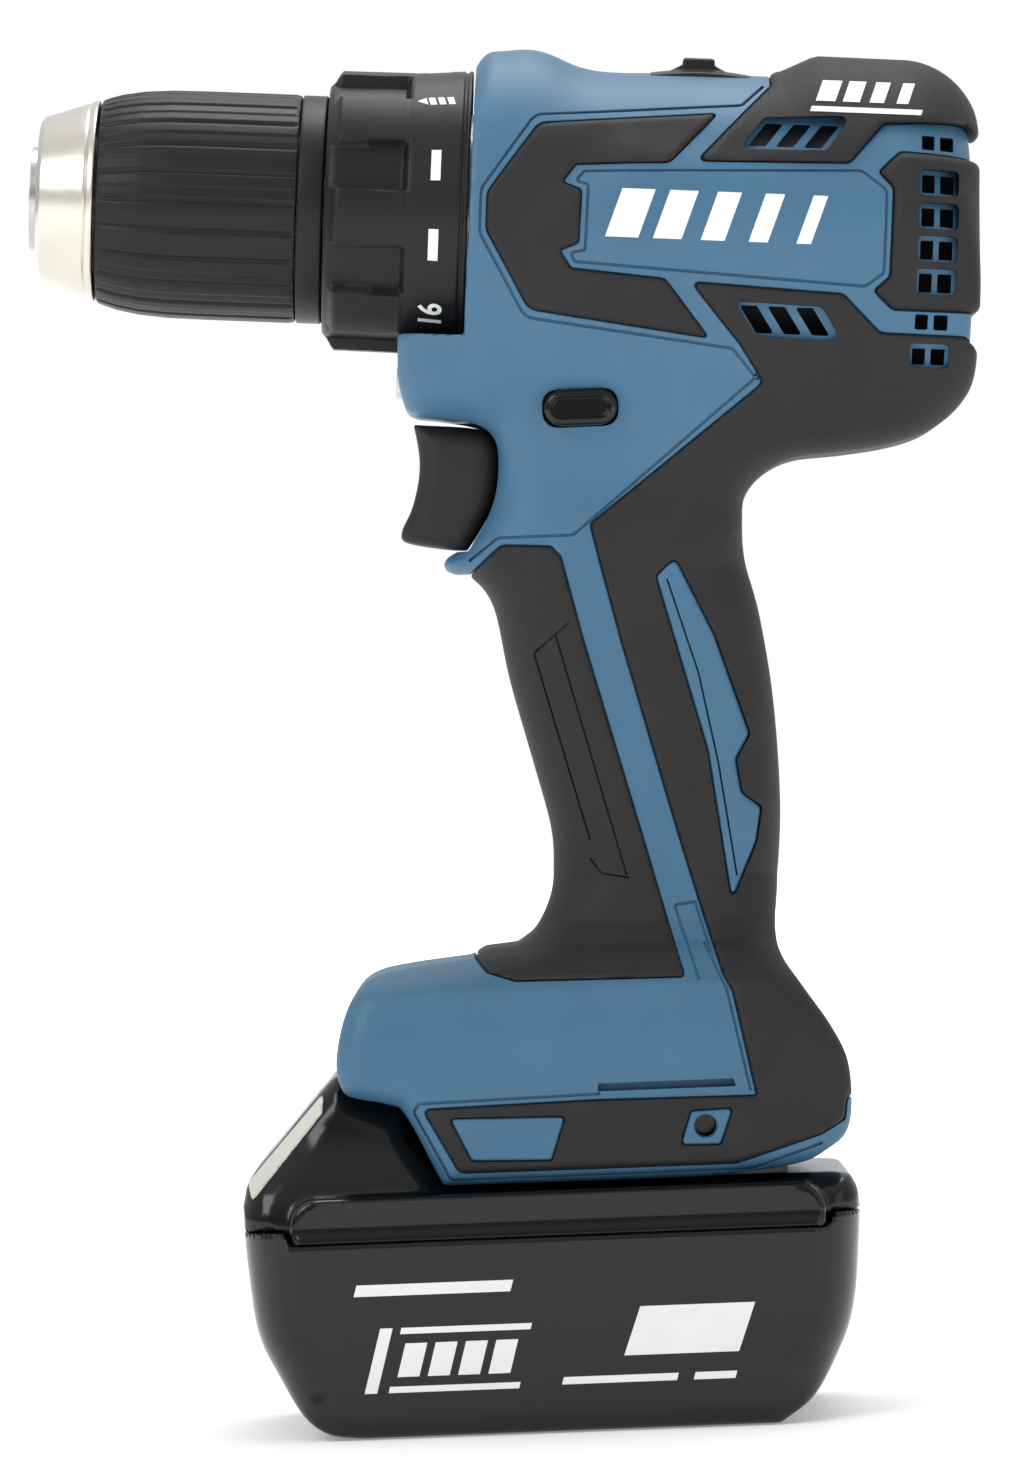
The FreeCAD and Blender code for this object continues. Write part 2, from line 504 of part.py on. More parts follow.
def build_gearbox():
    profile = [(-27, 12.03), (-27, 14.4), (3.9, 14.4), (3.9, 25), (38, 25), (38, 23), (5.9, 23), (5.9, 12.03),
               (-5.9, 12.03), (-5.9, 9), (-20.1, 9), (-20.1, 12.03)]
    body = doc.addObject("PartDesign::Body", "gear_case_body")
    sketch = body.newObject("Sketcher::SketchObject", "gear_case_profile")
    plane = [f for f in body.Origin.OriginFeatures if f.Role == "XZ_Plane"][0]
    sketch.AttachmentSupport = [(plane, "")]
    sketch.MapMode = "FlatFace"
    for here, there in zip(profile, profile[1:] + profile[:1]):
        sketch.addGeometry(Part.LineSegment(V(*here, 0), V(*there, 0)), False)
    for edge in range(len(profile)):
        sketch.addConstraint(Sketcher.Constraint("Coincident", edge, 2, (edge + 1) % len(profile), 1))
    for corner, alias in ((0, "bearing_seat"), (1, "case_nose"), (3, "case_radius"), (5, "case_bore")):
        index = sketch.addConstraint(Sketcher.Constraint("DistanceY", -1, 1, corner, 1, profile[corner][1]))
        sketch.renameConstraint(index, alias)
        sketch.setExpression(f"Constraints.{alias}", f"dims.{alias}")
    doc.recompute()
    turned = body.newObject("PartDesign::Revolution", "gear_case_turned")
    turned.Profile = sketch
    turned.ReferenceAxis = (sketch, ["H_Axis"])
    turned.Angle = 360
    body.Tip = turned
    way = block("shift_way", 17, 33, -2.2, 2.2, 20, 27)
    piece("gear_case", cut("gear_case_slotted", body, way), BARREL)

    ring_gear("output_ring_gear", size("output_ring_front"), size("output_ring_back"))
    groove = cut("shift_groove", rod("shift_groove_out", "ring_radius + 1", 27.6, 29.6),
                 rod("shift_groove_in", "ring_radius - 1.2", 27, 30))
    ring_gear("shift_ring_gear", size("shift_ring_front"), size("shift_ring_back"), groove)
    planets("output", size("output_planets"))
    planets("input", size("input_planets"))

    sun = toothed("input_carrier_sun", int(size("sun_teeth")), 10.6, 18)
    piece("input_carrier", fuse("input_carrier_body", rod("input_carrier_disc", "carrier_radius", 17.4, 20.4),
                                sun, *carrier_pins("input_carrier", 19, 27)), BARREL)
    piece("output_carrier", fuse("output_carrier_body",
                                 rod("output_carrier_disc", "carrier_radius", "spindle_back", 10),
                                 *carrier_pins("output_carrier", 9, 16.6)), BARREL)
    plate = cut("bearing_plate_body", rod("bearing_plate_disc", "ring_radius", 34, 38.5),
                rod("bearing_plate_seat", "motor_race_seat", 34.6, 40), rod("bearing_plate_way", 6, 33, 40))
    piece("gearbox_plate", plate, BARREL)

    piece("spindle_bearings", group("spindle_bearing_set",
                                    tube("front_race", "race_radius", "spindle_radius + slip", -26.5, -20.2),
                                    tube("back_race", "race_radius", "spindle_radius + slip", -5.8, 0)), BARREL)
    piece("clutch_plate", tube("clutch_plate_body", "clutch_plate_radius", "case_nose + slip", -0.6, 3.6), BARREL)
    piece("clutch_nut", tube("clutch_nut_body", "clutch_nut_radius", "case_nose + slip", -24.6, -20.6), BARREL)
    spring = add("Feature", "clutch_spring_coil")
    turns, pitch = 4, 4.4
    spring.Shape = coil(17.4, 1.15, pitch, pitch * turns - 0.4, -19.3)
    piece("clutch_spring", group("clutch_spring_body", spring), BARREL)


def coil(radius, wire, pitch, length, start):
    """A round-wire helical spring along the barrel axis."""
    helix = Part.makeHelix(pitch, length, radius)
    profile = Part.Wire([Part.makeCircle(wire, V(radius, 0, 0), V(0, 1, 0))])
    spring = Part.Wire(helix.Edges).makePipeShell([profile], True, True)
    spring.rotate(V(0, 0, 0), V(0, 1, 0), 90)
    spring.translate(V(start, 0, 0))
    return spring


# ------------------------------------------------------------------ motor
def build_motor():
    core = tube("stator_core", "stator_radius", "stator_bore", "motor_front", "motor_back")
    coils = [tube("stator_coil_front", 22, 14.6, "motor_front - 2.6", "motor_front + 1"),
             tube("stator_coil_back", 22, 14.6, "motor_back - 1", "motor_back + 2.8")]
    piece("motor_stator", fuse("stator_body", core, *coils), BARREL)
    piece("motor_rotor", tube("rotor_body", "rotor_radius", "shaft_radius", "motor_front", "motor_back"), BARREL)
    pinion = toothed("motor_pinion_teeth", int(size("sun_teeth")), 20.8, 28)
    piece("motor_shaft", fuse("motor_shaft_body", rod("motor_shaft_bar", "shaft_radius", 24, 90), pinion), BARREL)
    blades = []
    count = int(size("fan_blades"))
    for number in range(count):
        blade = block(f"fan_blade_{number}", "fan_front", "fan_front + 5.4", 7, "fan_radius - 1", -0.6, 0.6)
        bunch = group(f"fan_blade_turned_{number}", blade)
        bunch.Placement = FreeCAD.Placement(V(0, 0, 0), FreeCAD.Rotation(V(1, 0, 0), 360 / count * number))
        blades.append(bunch)
    fan = fuse("fan_whole", rod("fan_disc", "fan_radius", "fan_front + 5", "fan_front + 6.4"),
               rod("fan_hub", 7.5, "fan_front", "fan_front + 6"), *blades)
    piece("motor_fan", cut("fan_body", fan, rod("fan_bore", "shaft_radius", 76, 84)), BARREL)
    races = [tube(f"motor_race_{place}", "motor_race_radius", "shaft_radius + slip", x0, x1)
             for place, x0, x1 in (("front", 34.7, 38.5), ("back", 85.0, 88.5))]
    piece("motor_bearings", group("motor_bearing_set", *races), BARREL)


# ------------------------------------------------------------------ spindle and chuck
def jaw_bar(name, radius, length, way_round=90):
    """A round bar along a jaw's slanting way from the open jaw's tip: backwards, or forwards at -90."""
    bar = add("Cylinder", name)
    bind(bar, "Radius", radius)
    bind(bar, "Height", length)
    bar.Placement = FreeCAD.Placement(V(0, 0, 0), FreeCAD.Rotation(V(0, 1, 0), way_round - size("jaw_angle")))
    bind(bar, "Placement.Base.x", "jaw_tip_x")
    bind(bar, "Placement.Base.z", "jaw_tip_offset")
    return bar


def build_chuck():
    spindle = rod("spindle_bar", "spindle_radius", "spindle_front", "spindle_back")
    thread = rod("spindle_thread", 2.45, "spindle_front - 1", -38)
    piece("spindle", cut("spindle_body", spindle, thread), BARREL)
    piece("chuck_screw", fuse("chuck_screw_body", rod("chuck_screw_head", 4.4, "spindle_front - 1.9",
                                                      "spindle_front"),
                              rod("chuck_screw_shank", 2.4, "spindle_front - 1", -40)), BARREL)
    solid = fuse("chuck_solid", rod("chuck_front_bar", "chuck_nose_radius", "chuck_front + 1.9", -56),
                 rod("chuck_waist", "chuck_waist_radius", -63.6, -56),
                 rod("chuck_lip", "chuck_lip_radius", "chuck_front", "chuck_front + 1.9"),
                 rod("chuck_back_bar", "chuck_radius", -56.4, -33),
                 rod("chuck_tail", "chuck_tail_radius", -34, "chuck_back - 0.2"))
    ways = []
    for turn in THIRDS:
        way = group(f"jaw_way_{turn}", jaw_bar(f"jaw_way_bar_{turn}", "jaw_radius + slip", 26),
                    jaw_bar(f"jaw_front_way_{turn}", "jaw_radius + slip", 26, -90))
        way.Placement = FreeCAD.Placement(V(0, 0, 0), FreeCAD.Rotation(V(1, 0, 0), turn))
        ways.append(way)
    holes = [rod("chuck_socket", "socket_radius", "chuck_front - 1", "socket_floor"),
             rod("chuck_bore", "spindle_radius", "socket_floor - 1", -28), *ways]
    piece("chuck_body", cut("chuck_body_solid", solid, *holes), BARREL)
    nose = cone("chuck_nose_cone", "collar_front_radius", 19.6, "chuck_front + 1.9", "sleeve_front - 0.3")
    nose_bore = rod("chuck_nose_bore", "chuck_nose_radius + slip", -90, -70)
    piece("chuck_nose", cut("chuck_nose_body", nose, nose_bore), BARREL)
    rear_ring = tube("chuck_rear_ring_body", "sleeve_radius", "chuck_tail_radius", -32.5, "chuck_back")
    piece("chuck_rear_ring", rear_ring, BARREL)

    grip = tube("sleeve_grip", "sleeve_radius", "sleeve_bore", "sleeve_front", "sleeve_back")
    flutes = []
    count = int(size("flute_count"))
    for number in range(count):
        flute = rod(f"sleeve_flute_{number}", "flute_radius", "sleeve_front + 2", "sleeve_back - 2.2", 0,
                    "sleeve_radius + flute_radius / 2")
        bunch = group(f"sleeve_flute_turned_{number}", flute)
        bunch.Placement = FreeCAD.Placement(V(0, 0, 0), FreeCAD.Rotation(V(1, 0, 0), 360 / count * number))
        flutes.append(bunch)
    piece("chuck_sleeve", cut("sleeve_body", grip, *flutes), BARREL)
    piece("chuck_nut", tube("chuck_nut_body", "sleeve_bore", 16.1, -63, -57), BARREL)

    # a jaw is a slanting round bar with its inner side cut to a blunt wedge parallel to the spindle
    wedge = [(6.75, -1.0), (8.5, -4.2), (24, -4.2), (24, 4.2), (8.5, 4.2), (6.75, 1.0)]
    for number, turn in enumerate(THIRDS, 1):
        edge = outline(f"jaw_edge_{number}", [(y, z) for z, y in wedge], UPRIGHT_YZ)
        slice_ = slab(f"jaw_wedge_{number}", edge, 100, V(1, 0, 0))
        jaw = common(f"jaw_{number}_plain", jaw_bar(f"jaw_{number}_bar", "jaw_radius", "jaw_length"), slice_)
        turned = group(f"jaw_{number}_body", jaw)
        piece(f"jaw_{number}", turned, BARREL.multiply(
            FreeCAD.Placement(V(0, 0, 0), FreeCAD.Rotation(V(1, 0, 0), turn))))


# ------------------------------------------------------------------ torque ring and speed selector
def build_torque_ring():
    lugs = []
    count = int(size("lug_count"))
    for number in range(count):
        lug = block(f"lug_{number}", "lug_front", "lug_back", "-lug_width / 2", "lug_width / 2", 22, 29)
        bunch = group(f"lug_turned_{number}", lug)
        bunch.Placement = FreeCAD.Placement(V(0, 0, 0),
                                            FreeCAD.Rotation(V(1, 0, 0), size("lug_start") + 360 / count * number))
        lugs.append(bunch)
    lug_ring = common("lug_ring", fuse("lug_all", *lugs), rod("lug_round", "lug_radius", "lug_front", "lug_back"))
    front_bar = rod("dial_front_bar", "dial_front_radius", "dial_front", "lug_back + 1.2")
    solid = fuse("dial_solid", front_bar, lug_ring, rod("dial_rim_bar", "dial_rim", "lug_back", "dial_back"))
    holes = [rod("dial_hollow", "dial_bore", -25, 2), rod("dial_mouth", 15.0, -30, -20)]
    piece("torque_ring", cut("dial_body", solid, *holes), BARREL)


def build_selector():
    plate = common("selector_plate", tube("selector_plate_ring", "selector_radius", "selector_floor",
                                          "selector_front", "selector_back"),
                   block("selector_plate_box", "selector_front", "selector_back", "-selector_half", "selector_half",
                         20, 40))
    nub = common("selector_nub", tube("selector_nub_ring", "nub_radius", "selector_floor + 0.6", "nub_front",
                                      "nub_back"),
                 block("selector_nub_box", "nub_front", "nub_back", "-nub_half", "nub_half", 20, 40))
    post = block("selector_post", "nub_front", "nub_back - 1", -2, 2, 26.2, "selector_floor + 0.7")
    piece("speed_selector", fuse("selector_body", plate, nub, post), BARREL)
    strap = block("fork_strap", 26.4, 45.5, -2, 2, 25.35, 26.2)
    pin = block("fork_pin", 27.8, 29.4, -1.6, 1.6, 21.9, 25.8)
    piece("shift_fork", fuse("fork_body", strap, pin), BARREL)


# ------------------------------------------------------------------ trigger, switches, lamp, electronics
TRIGGER_EDGE = [(-20.8, 195.0), (-8.2, 193.8), (-5.5, 192.1), (-4.6, 189.4), (-5.6, 180.9), (-9.7, 173),
                (-11.8, 170.7), (-17.5, 171.3), (-22.9, 172.3), (-24, 173.9), (-21.9, 178.5), (-20.6, 183),
                (-20.1, 190.8)]


def build_controls():
    face = slab("trigger_face", outline("trigger_edge", TRIGGER_EDGE), "trigger_half")
    stem = block("trigger_stem", -8, 8, -6, 6, 178, 188)
    piece("trigger", fuse("trigger_body", face, stem))
    way = block("plunger_way", 7, 16, -6.4, 6.4, 177.6, 188.4)
    piece("switch_unit", cut("switch_body", block("switch_block", 9.2, 34, -11, 11, 170.5, 191.6), way))
    piece("direction_button", button_bar("button_body", "button_radius", "-button_half", "button_half"))
    lens = fuse("lens_body", rod("lens_disc", "lens_radius", "lens_front", "lens_back - 0.4", 0, "lens_z"),
                rod("lens_flange", "lens_rim", "lens_back - 0.9", "lens_back", 0, "lens_z"))
    piece("lamp_lens", lens, BARREL)
    piece("lamp_board", fuse("lamp_body", rod("lamp_led", 2.4, "lens_back + 0.1", -5.4, 0, "lens_z"),
                             block("lamp_plate", -5.6, -4.4, -5, 5, -37, -30)), BARREL)
    piece("controller", block("controller_body", -8, 30, -21, 21, 66.5, 82))
    blades = [block(f"blade_{side}", 20, 36, *span("blade_y - 0.4", "blade_y + 0.4", side), 50.8, 61)
              for side in SIDES]
    piece("terminal_block", fuse("terminal_body", block("terminal_plate", 14, 40, -19, 19, 60.8, 65.8), *blades))


# ------------------------------------------------------------------ battery
PACK_EDGE = [(-38.6, 0), (42.5, 0), (49.3, 5.2), (57.4, 19.5), (59.1, 39.5), (59.6, 44.1), (57.7, 47.2),
             (-20.7, 47.2), (-26.9, 59.9), (-29.1, 62.6), (-34.6, 64.3), (-40.4, 68.2), (-43.6, 66.2),
             (-58.1, 49.8), (-58.7, 46.1), (-59.3, 40.2), (-57.5, 19.8), (-49.3, 5.2), (-44.5, 1.0)]
PACK_FRONT = [(-34, 0), (-37.3, 5), (-37.3, 42), (-35, 47.4), (-30, 50), (-30, 70), (30, 70), (30, 50),
              (35, 47.4), (37.3, 42), (37.3, 5), (34, 0)]
# the release button lies flush in the battery's front slope
LATCH_EDGE = [(-50.6, 57), (-50.6, 58.2), (-43.8, 65.8), (-40.7, 67.7), (-40.7, 60), (-47.2, 60), (-48.2, 57)]
CELL_COLUMNS = (-2, -1, 0, 1, 2)


def pack_form(name, amount, depth):
    """The battery's outer form moved inwards by depth, which amount gives as a formula of the sheet."""
    edge = outline(name + "_edge", inset(PACK_EDGE, depth))
    front = outline(name + "_front", inset(PACK_FRONT, depth), UPRIGHT_YZ)
    return common(name, slab(name + "_slab", edge, f"pack_half - ({amount})"),
                  slab(name + "_cross", front, 70, V(1, 0, 0)))


def build_battery():
    form = pack_form("pack_outer", "0", 0)
    hollow = pack_form("pack_hollow", "pack_wall", size("pack_wall"))
    shell = cut("pack_shell", form, hollow)
    piece("battery_lower_case", common("pack_lower", shell, block("pack_below", -70, 70, -50, 50, -5, "pack_seam")))
    upper = common("pack_upper_shell", shell, block("pack_above", -70, 70, -50, 50, "pack_seam", 80))
    tongue = block("tongue_block", "tongue_front", "tongue_back", "-tongue_half", "tongue_half", 46, "tongue_top")
    tongue_hollow = block("tongue_hollow", "tongue_front + tongue_wall", "tongue_back - tongue_wall",
                          "-groove_floor + tongue_wall", "groove_floor - tongue_wall", 44,
                          "tongue_top - tongue_wall")
    grooves = [block(f"tongue_groove_{side}", "tongue_front - 1", "tongue_back + 1",
                     *span("groove_floor", "groove_rim", side), "groove_low", "groove_high") for side in SIDES]
    slots = [block(f"tongue_slot_{side}", 17, 47, *span("blade_y - 1.4", "blade_y + 1.4", side), 50.2, 61)
             for side in SIDES]
    latch_way = block("latch_way", -51, -40.2, "-latch_half - 0.5", "latch_half + 0.5",
                      "latch_low - latch_travel - 0.3", 75)
    shelf = common("latch_shelf", form, block("latch_shelf_block", -60, -24, -10, 10, 47.4, 49.6))
    piece("battery_upper_case", cut("pack_upper", fuse("pack_upper_whole", upper, tongue, shelf), tongue_hollow,
                                    *grooves, *slots, latch_way))

    places = [(f"cell_pitch * ({column})", row) for row in ("cell_low", "cell_high") for column in CELL_COLUMNS]
    cells = [cross_rod(f"cell_{number}", "cell_radius", "-cell_length / 2", "cell_length / 2", x, z)
             for number, (x, z) in enumerate(places)]
    piece("battery_cells", group("cell_set", *cells))
    holes = [cross_rod(f"cell_way_{number}", "cell_radius + 0.1", -30, 30, x, z)
             for number, (x, z) in enumerate(places)]
    piece("cell_holder", cut("holder_body", block("holder_block", -43.5, 43.5, -24, 24, 4.2, 43.2), *holes))
    straps = [block(f"strap_{side}_{row}", -44, 44, *span("strap_inner", "strap_outer", side),
                    f"{row} - strap_half", f"{row} + strap_half")
              for side in SIDES for row in ("cell_low", "cell_high")]
    piece("cell_straps", group("strap_set", *straps))
    piece("pack_board", block("pack_board_body", -10, 42, -17, 17, 43.5, 45.1))
    clips = [block(f"clip_{side}_{wall}", 20, 40,
                   *span(f"blade_y + {wall} * 0.9 - 0.25", f"blade_y + {wall} * 0.9 + 0.25", side), 45.2, 56)
             for side in SIDES for wall in (-1, 1)]
    piece("battery_terminals", group("clip_set", *clips))
    piece("battery_latch", slab("latch_body", outline("latch_edge", LATCH_EDGE), "latch_half"))
    coil_spring = add("Feature", "latch_spring_coil")
    straight = coil(2.6, 0.35, 2.0, 9.6, 0)
    straight.rotate(V(0, 0, 0), V(0, 1, 0), -90)
    straight.translate(V(-43.6, 0, 49.95))
    coil_spring.Shape = straight
    piece("latch_spring", group("latch_spring_body", coil_spring))


build_housing()
build_gearbox()
build_motor()
build_chuck()
build_torque_ring()
build_selector()
build_controls()
build_battery()
doc.recompute()

# ------------------------------------------------------------------ check and write
failed = [obj.Name for obj in doc.Objects if {"Invalid", "Error"} & set(obj.State)]
assert not failed, f"objects that did not build: {failed}"
for obj in PIECES:
    assert not obj.Shape.isNull() and obj.Shape.isValid() and obj.Shape.Solids, f"bad shape: {obj.Label}"
assert len({obj.Label for obj in PIECES}) == len(PIECES) <= 60
os.makedirs("parts", exist_ok=True)
for obj in PIECES:
    obj.Shape.exportStep(f"parts/{obj.Label}.step")
    print(f"{obj.Label}: {len(obj.Shape.Solids)} solids, {obj.Shape.Volume / 1000:.2f} cm3")
print(len(PIECES), "sub-parts written")
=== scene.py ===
import json
import math

import bmesh
import bpy
import numpy as np
from mathutils import Matrix, Vector


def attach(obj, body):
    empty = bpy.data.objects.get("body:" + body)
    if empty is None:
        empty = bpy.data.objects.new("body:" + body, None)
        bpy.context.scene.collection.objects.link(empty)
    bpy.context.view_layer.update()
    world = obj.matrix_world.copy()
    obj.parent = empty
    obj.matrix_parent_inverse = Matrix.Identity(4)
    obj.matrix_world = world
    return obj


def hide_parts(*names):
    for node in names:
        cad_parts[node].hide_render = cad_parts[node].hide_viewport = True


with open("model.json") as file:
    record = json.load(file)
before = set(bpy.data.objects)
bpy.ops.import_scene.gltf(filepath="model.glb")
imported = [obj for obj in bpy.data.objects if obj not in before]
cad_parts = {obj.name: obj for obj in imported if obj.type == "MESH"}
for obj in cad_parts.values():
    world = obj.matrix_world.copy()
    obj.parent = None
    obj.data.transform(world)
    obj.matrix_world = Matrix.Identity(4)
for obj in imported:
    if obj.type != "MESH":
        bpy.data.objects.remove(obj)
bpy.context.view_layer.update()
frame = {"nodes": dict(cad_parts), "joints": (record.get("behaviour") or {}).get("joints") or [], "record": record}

# All sizes below are in millimetres; MM turns them into the scene's metres.
MM = 0.001

# ------------------------------------------------------------------ the barrel frame, from the spindle's joint
spindle_joint = next(joint for joint in frame["joints"] if joint["name"] == "spindle_spin")
nose_way = Vector(spindle_joint["axis"])
BARREL_X, _, BARREL_Z = (value / MM for value in spindle_joint["pos_m"])
TILT = math.atan2(nose_way.z, -nose_way.x)
COS, SIN = math.cos(TILT), math.sin(TILT)


def to_barrel(x, z):
    """Row coordinates to the barrel frame: x runs back along the spindle, z up across it."""
    return (x - BARREL_X) * COS - (z - BARREL_Z) * SIN, (x - BARREL_X) * SIN + (z - BARREL_Z) * COS


def from_barrel(x, z):
    return BARREL_X + x * COS + z * SIN, BARREL_Z - x * SIN + z * COS


# ------------------------------------------------------------------ outlines
def smooth_path(points, steps=6):
    """A closed Catmull-Rom curve through the points; a point with a third entry is a sharp corner."""
    count = len(points)
    curve = []
    for index in range(count):
        p0, p1, p2, p3 = (points[(index + shift) % count] for shift in (-1, 0, 1, 2))
        a, b, c, d = (np.array(p[:2], float) for p in (p0, p1, p2, p3))
        out_tangent = (c - b) if len(p1) > 2 else (c - a) / 2
        in_tangent = (c - b) if len(p2) > 2 else (d - b) / 2
        for step in range(steps):
            t = step / steps
            curve.append(b * (2 * t**3 - 3 * t**2 + 1) + out_tangent * (t**3 - 2 * t**2 + t)
                         + c * (3 * t**2 - 2 * t**3) + in_tangent * (t**3 - t**2))
    return np.array(curve)


def rounded(points, radius, steps=4):
    """A polygon with its corners rounded; a point's third entry is its own radius."""
    count = len(points)
    curve = []
    for index in range(count):
        corner = np.array(points[index][:2], float)
        want = points[index][2] if len(points[index]) > 2 else radius
        before = np.array(points[index - 1][:2], float) - corner
        after = np.array(points[(index + 1) % count][:2], float) - corner
        long_a, long_b = np.linalg.norm(before), np.linalg.norm(after)
        before, after = before / long_a, after / long_b
        half = math.acos(np.clip(before @ after, -1, 1)) / 2
        reach = min(want / max(math.tan(half), 1e-6), 0.45 * long_a, 0.45 * long_b)
        if reach < 0.02:
            curve.append(corner)
            continue
        start, end = corner + before * reach, corner + after * reach
        for step in range(steps + 1):
            t = step / steps
            curve.append(start * (1 - t)**2 + corner * 2 * t * (1 - t) + end * t**2)
    return np.array(curve)


def grown(polygon, amount):
    """A dense closed outline moved outwards by amount."""
    after, before = np.roll(polygon, -1, 0), np.roll(polygon, 1, 0)
    along = after - before
    along /= np.maximum(np.linalg.norm(along, axis=1), 1e-9)[:, None]
    area = np.sum(polygon[:, 0] * after[:, 1] - after[:, 0] * polygon[:, 1])
    across = np.stack([along[:, 1], -along[:, 0]], 1) * np.sign(area)
    return polygon + across * amount


def outline_distance(x, z, polygon):
    """Distance to a closed outline, negative inside it."""
    best = np.full(x.shape, 1e9)
    inside = np.zeros(x.shape, bool)
    for (x0, z0), (x1, z1) in zip(polygon, np.roll(polygon, -1, 0)):
        dx, dz = x1 - x0, z1 - z0
        t = np.clip(((x - x0) * dx + (z - z0) * dz) / max(dx * dx + dz * dz, 1e-12), 0, 1)
        best = np.minimum(best, (x - x0 - t * dx)**2 + (z - z0 - t * dz)**2)
        if z0 != z1:
            inside ^= ((z0 > z) != (z1 > z)) & (x < x0 + (z - z0) * dx / dz)
    return np.sqrt(best) * np.where(inside, -1, 1)


class SideMap:
    """A value worked out once on a fine side-view grid and read back between its points."""

    def __init__(self, low, high, step, function):
        self.low, self.step = np.array(low, float), step
        nx, nz = (int((high[axis] - low[axis]) / step) + 1 for axis in (0, 1))
        x = low[0] + step * np.arange(nx)[:, None]
        z = low[1] + step * np.arange(nz)[None, :]
        self.values = function(x + 0 * z, z + 0 * x)

    def __call__(self, x, z):
        u, v = (x - self.low[0]) / self.step, (z - self.low[1]) / self.step
        i = np.clip(np.floor(u).astype(int), 0, self.values.shape[0] - 2)
        k = np.clip(np.floor(v).astype(int), 0, self.values.shape[1] - 2)
        fu, fv = np.clip(u - i, 0, 1), np.clip(v - k, 0, 1)
        values = self.values
        return ((1 - fu) * ((1 - fv) * values[i, k] + fv * values[i, k + 1])
                + fu * ((1 - fv) * values[i + 1, k] + fv * values[i + 1, k + 1]))


def through(knots):
    """A smooth curve of value against position through (position, value) knots (natural cubic)."""
    at, value = (np.array(column, float) for column in zip(*knots))
    gap, count = np.diff(at), len(at)
    matrix, right = np.zeros((count, count)), np.zeros(count)
    matrix[0, 0] = matrix[-1, -1] = 1
    for i in range(1, count - 1):
        matrix[i, i - 1:i + 2] = gap[i - 1], 2 * (gap[i - 1] + gap[i]), gap[i]
        right[i] = 6 * ((value[i + 1] - value[i]) / gap[i] - (value[i] - value[i - 1]) / gap[i - 1])
    bend = np.linalg.solve(matrix, right)

    def curve(position):
        p = np.clip(position, at[0], at[-1])
        i = np.clip(np.searchsorted(at, p) - 1, 0, count - 2)
        left, rest, width = p - at[i], at[i + 1] - p, gap[i]
        return (bend[i] * rest**3 / (6 * width) + bend[i + 1] * left**3 / (6 * width)
                + (value[i] / width - bend[i] * width / 6) * rest
                + (value[i + 1] / width - bend[i + 1] * width / 6) * left)
    return curve


# ------------------------------------------------------------------ fields and their meshes
def smax(a, b, soft):
    blend = np.maximum(soft - np.abs(a - b), 0) / soft
    return np.maximum(a, b) + blend * blend * soft / 4


def smin(a, b, soft):
    return -smax(-a, -b, soft)


def rounded_meet(a, b, radius):
    """Where two limits meet: a round edge of the given radius."""
    u, v = np.maximum(a + radius, 0), np.maximum(b + radius, 0)
    return np.sqrt(u * u + v * v) - radius + np.minimum(np.maximum(a + radius, b + radius), 0)


def mesh_of(field, low, high, step, name):
    """A closed mesh of a field's zero surface, by surface nets whose points are moved onto the surface."""
    counts = [int(math.ceil((h - l) / step)) + 1 for l, h in zip(low, high)]
    axes = [l + step * np.arange(n) for l, n in zip(low, counts)]
    value = field(axes[0][:, None, None], axes[1][None, :, None], axes[2][None, None, :])
    value = np.broadcast_to(value, counts)
    inside = value < 0
    cell_shape = tuple(n - 1 for n in counts)
    total, hits = np.zeros(cell_shape + (3,)), np.zeros(cell_shape)
    corners = [(i, j, k) for i in (0, 1) for j in (0, 1) for k in (0, 1)]

    def corner_view(array, corner):
        return array[tuple(slice(c, c + n) for c, n in zip(corner, cell_shape))]

    for first in corners:
        for axis in range(3):
            if first[axis]:
                continue
            second = list(first)
            second[axis] = 1
            crossing = corner_view(inside, first) != corner_view(inside, tuple(second))
            where = np.nonzero(crossing)
            v0, v1 = corner_view(value, first)[where], corner_view(value, tuple(second))[where]
            spot = np.stack([np.full(len(v0), float(c)) for c in first], 1)
            spot[:, axis] += v0 / (v0 - v1)
            total[where] += spot
            hits[where] += 1
    cells = np.nonzero(hits)
    number = np.full(cell_shape, -1)
    number[cells] = np.arange(len(cells[0]))
    points = np.stack(cells, 1) + total[cells] / hits[cells][:, None]
    points = points * step + np.array(low)
    quads = []
    for axis in range(3):
        a, b = (axis + 1) % 3, (axis + 2) % 3
        inner = [slice(1, n - 1) for n in counts]
        inner[axis] = slice(0, counts[axis] - 1)
        here = inside[tuple(inner)]
        shifted = list(inner)
        shifted[axis] = slice(1, counts[axis])
        there = inside[tuple(shifted)]
        spots = np.stack(np.nonzero(here != there), 1)
        spots[:, a] += 1
        spots[:, b] += 1
        flip = ~inside[spots[:, 0], spots[:, 1], spots[:, 2]]

        def cell(da, db):
            c = spots.copy()
            c[:, a] -= da
            c[:, b] -= db
            return number[c[:, 0], c[:, 1], c[:, 2]]

        face = np.stack([cell(1, 1), cell(0, 1), cell(0, 0), cell(1, 0)], 1)
        face[flip] = face[flip][:, ::-1]
        quads.append(face)
    quads = np.concatenate(quads)
    small = 0.02
    for _ in range(3):
        x, y, z = points.T
        here = field(x, y, z)
        slope = np.stack([field(x + small, y, z) - here, field(x, y + small, z) - here,
                          field(x, y, z + small) - here], 1) / small
        steep = np.maximum(np.sum(slope * slope, 1), 0.05)
        move = slope * (here / steep)[:, None]
        far = np.linalg.norm(move, axis=1)
        move *= np.minimum(1, 0.7 * step / np.maximum(far, 1e-9))[:, None]
        points = points - move
    return new_mesh(name, points, quads)


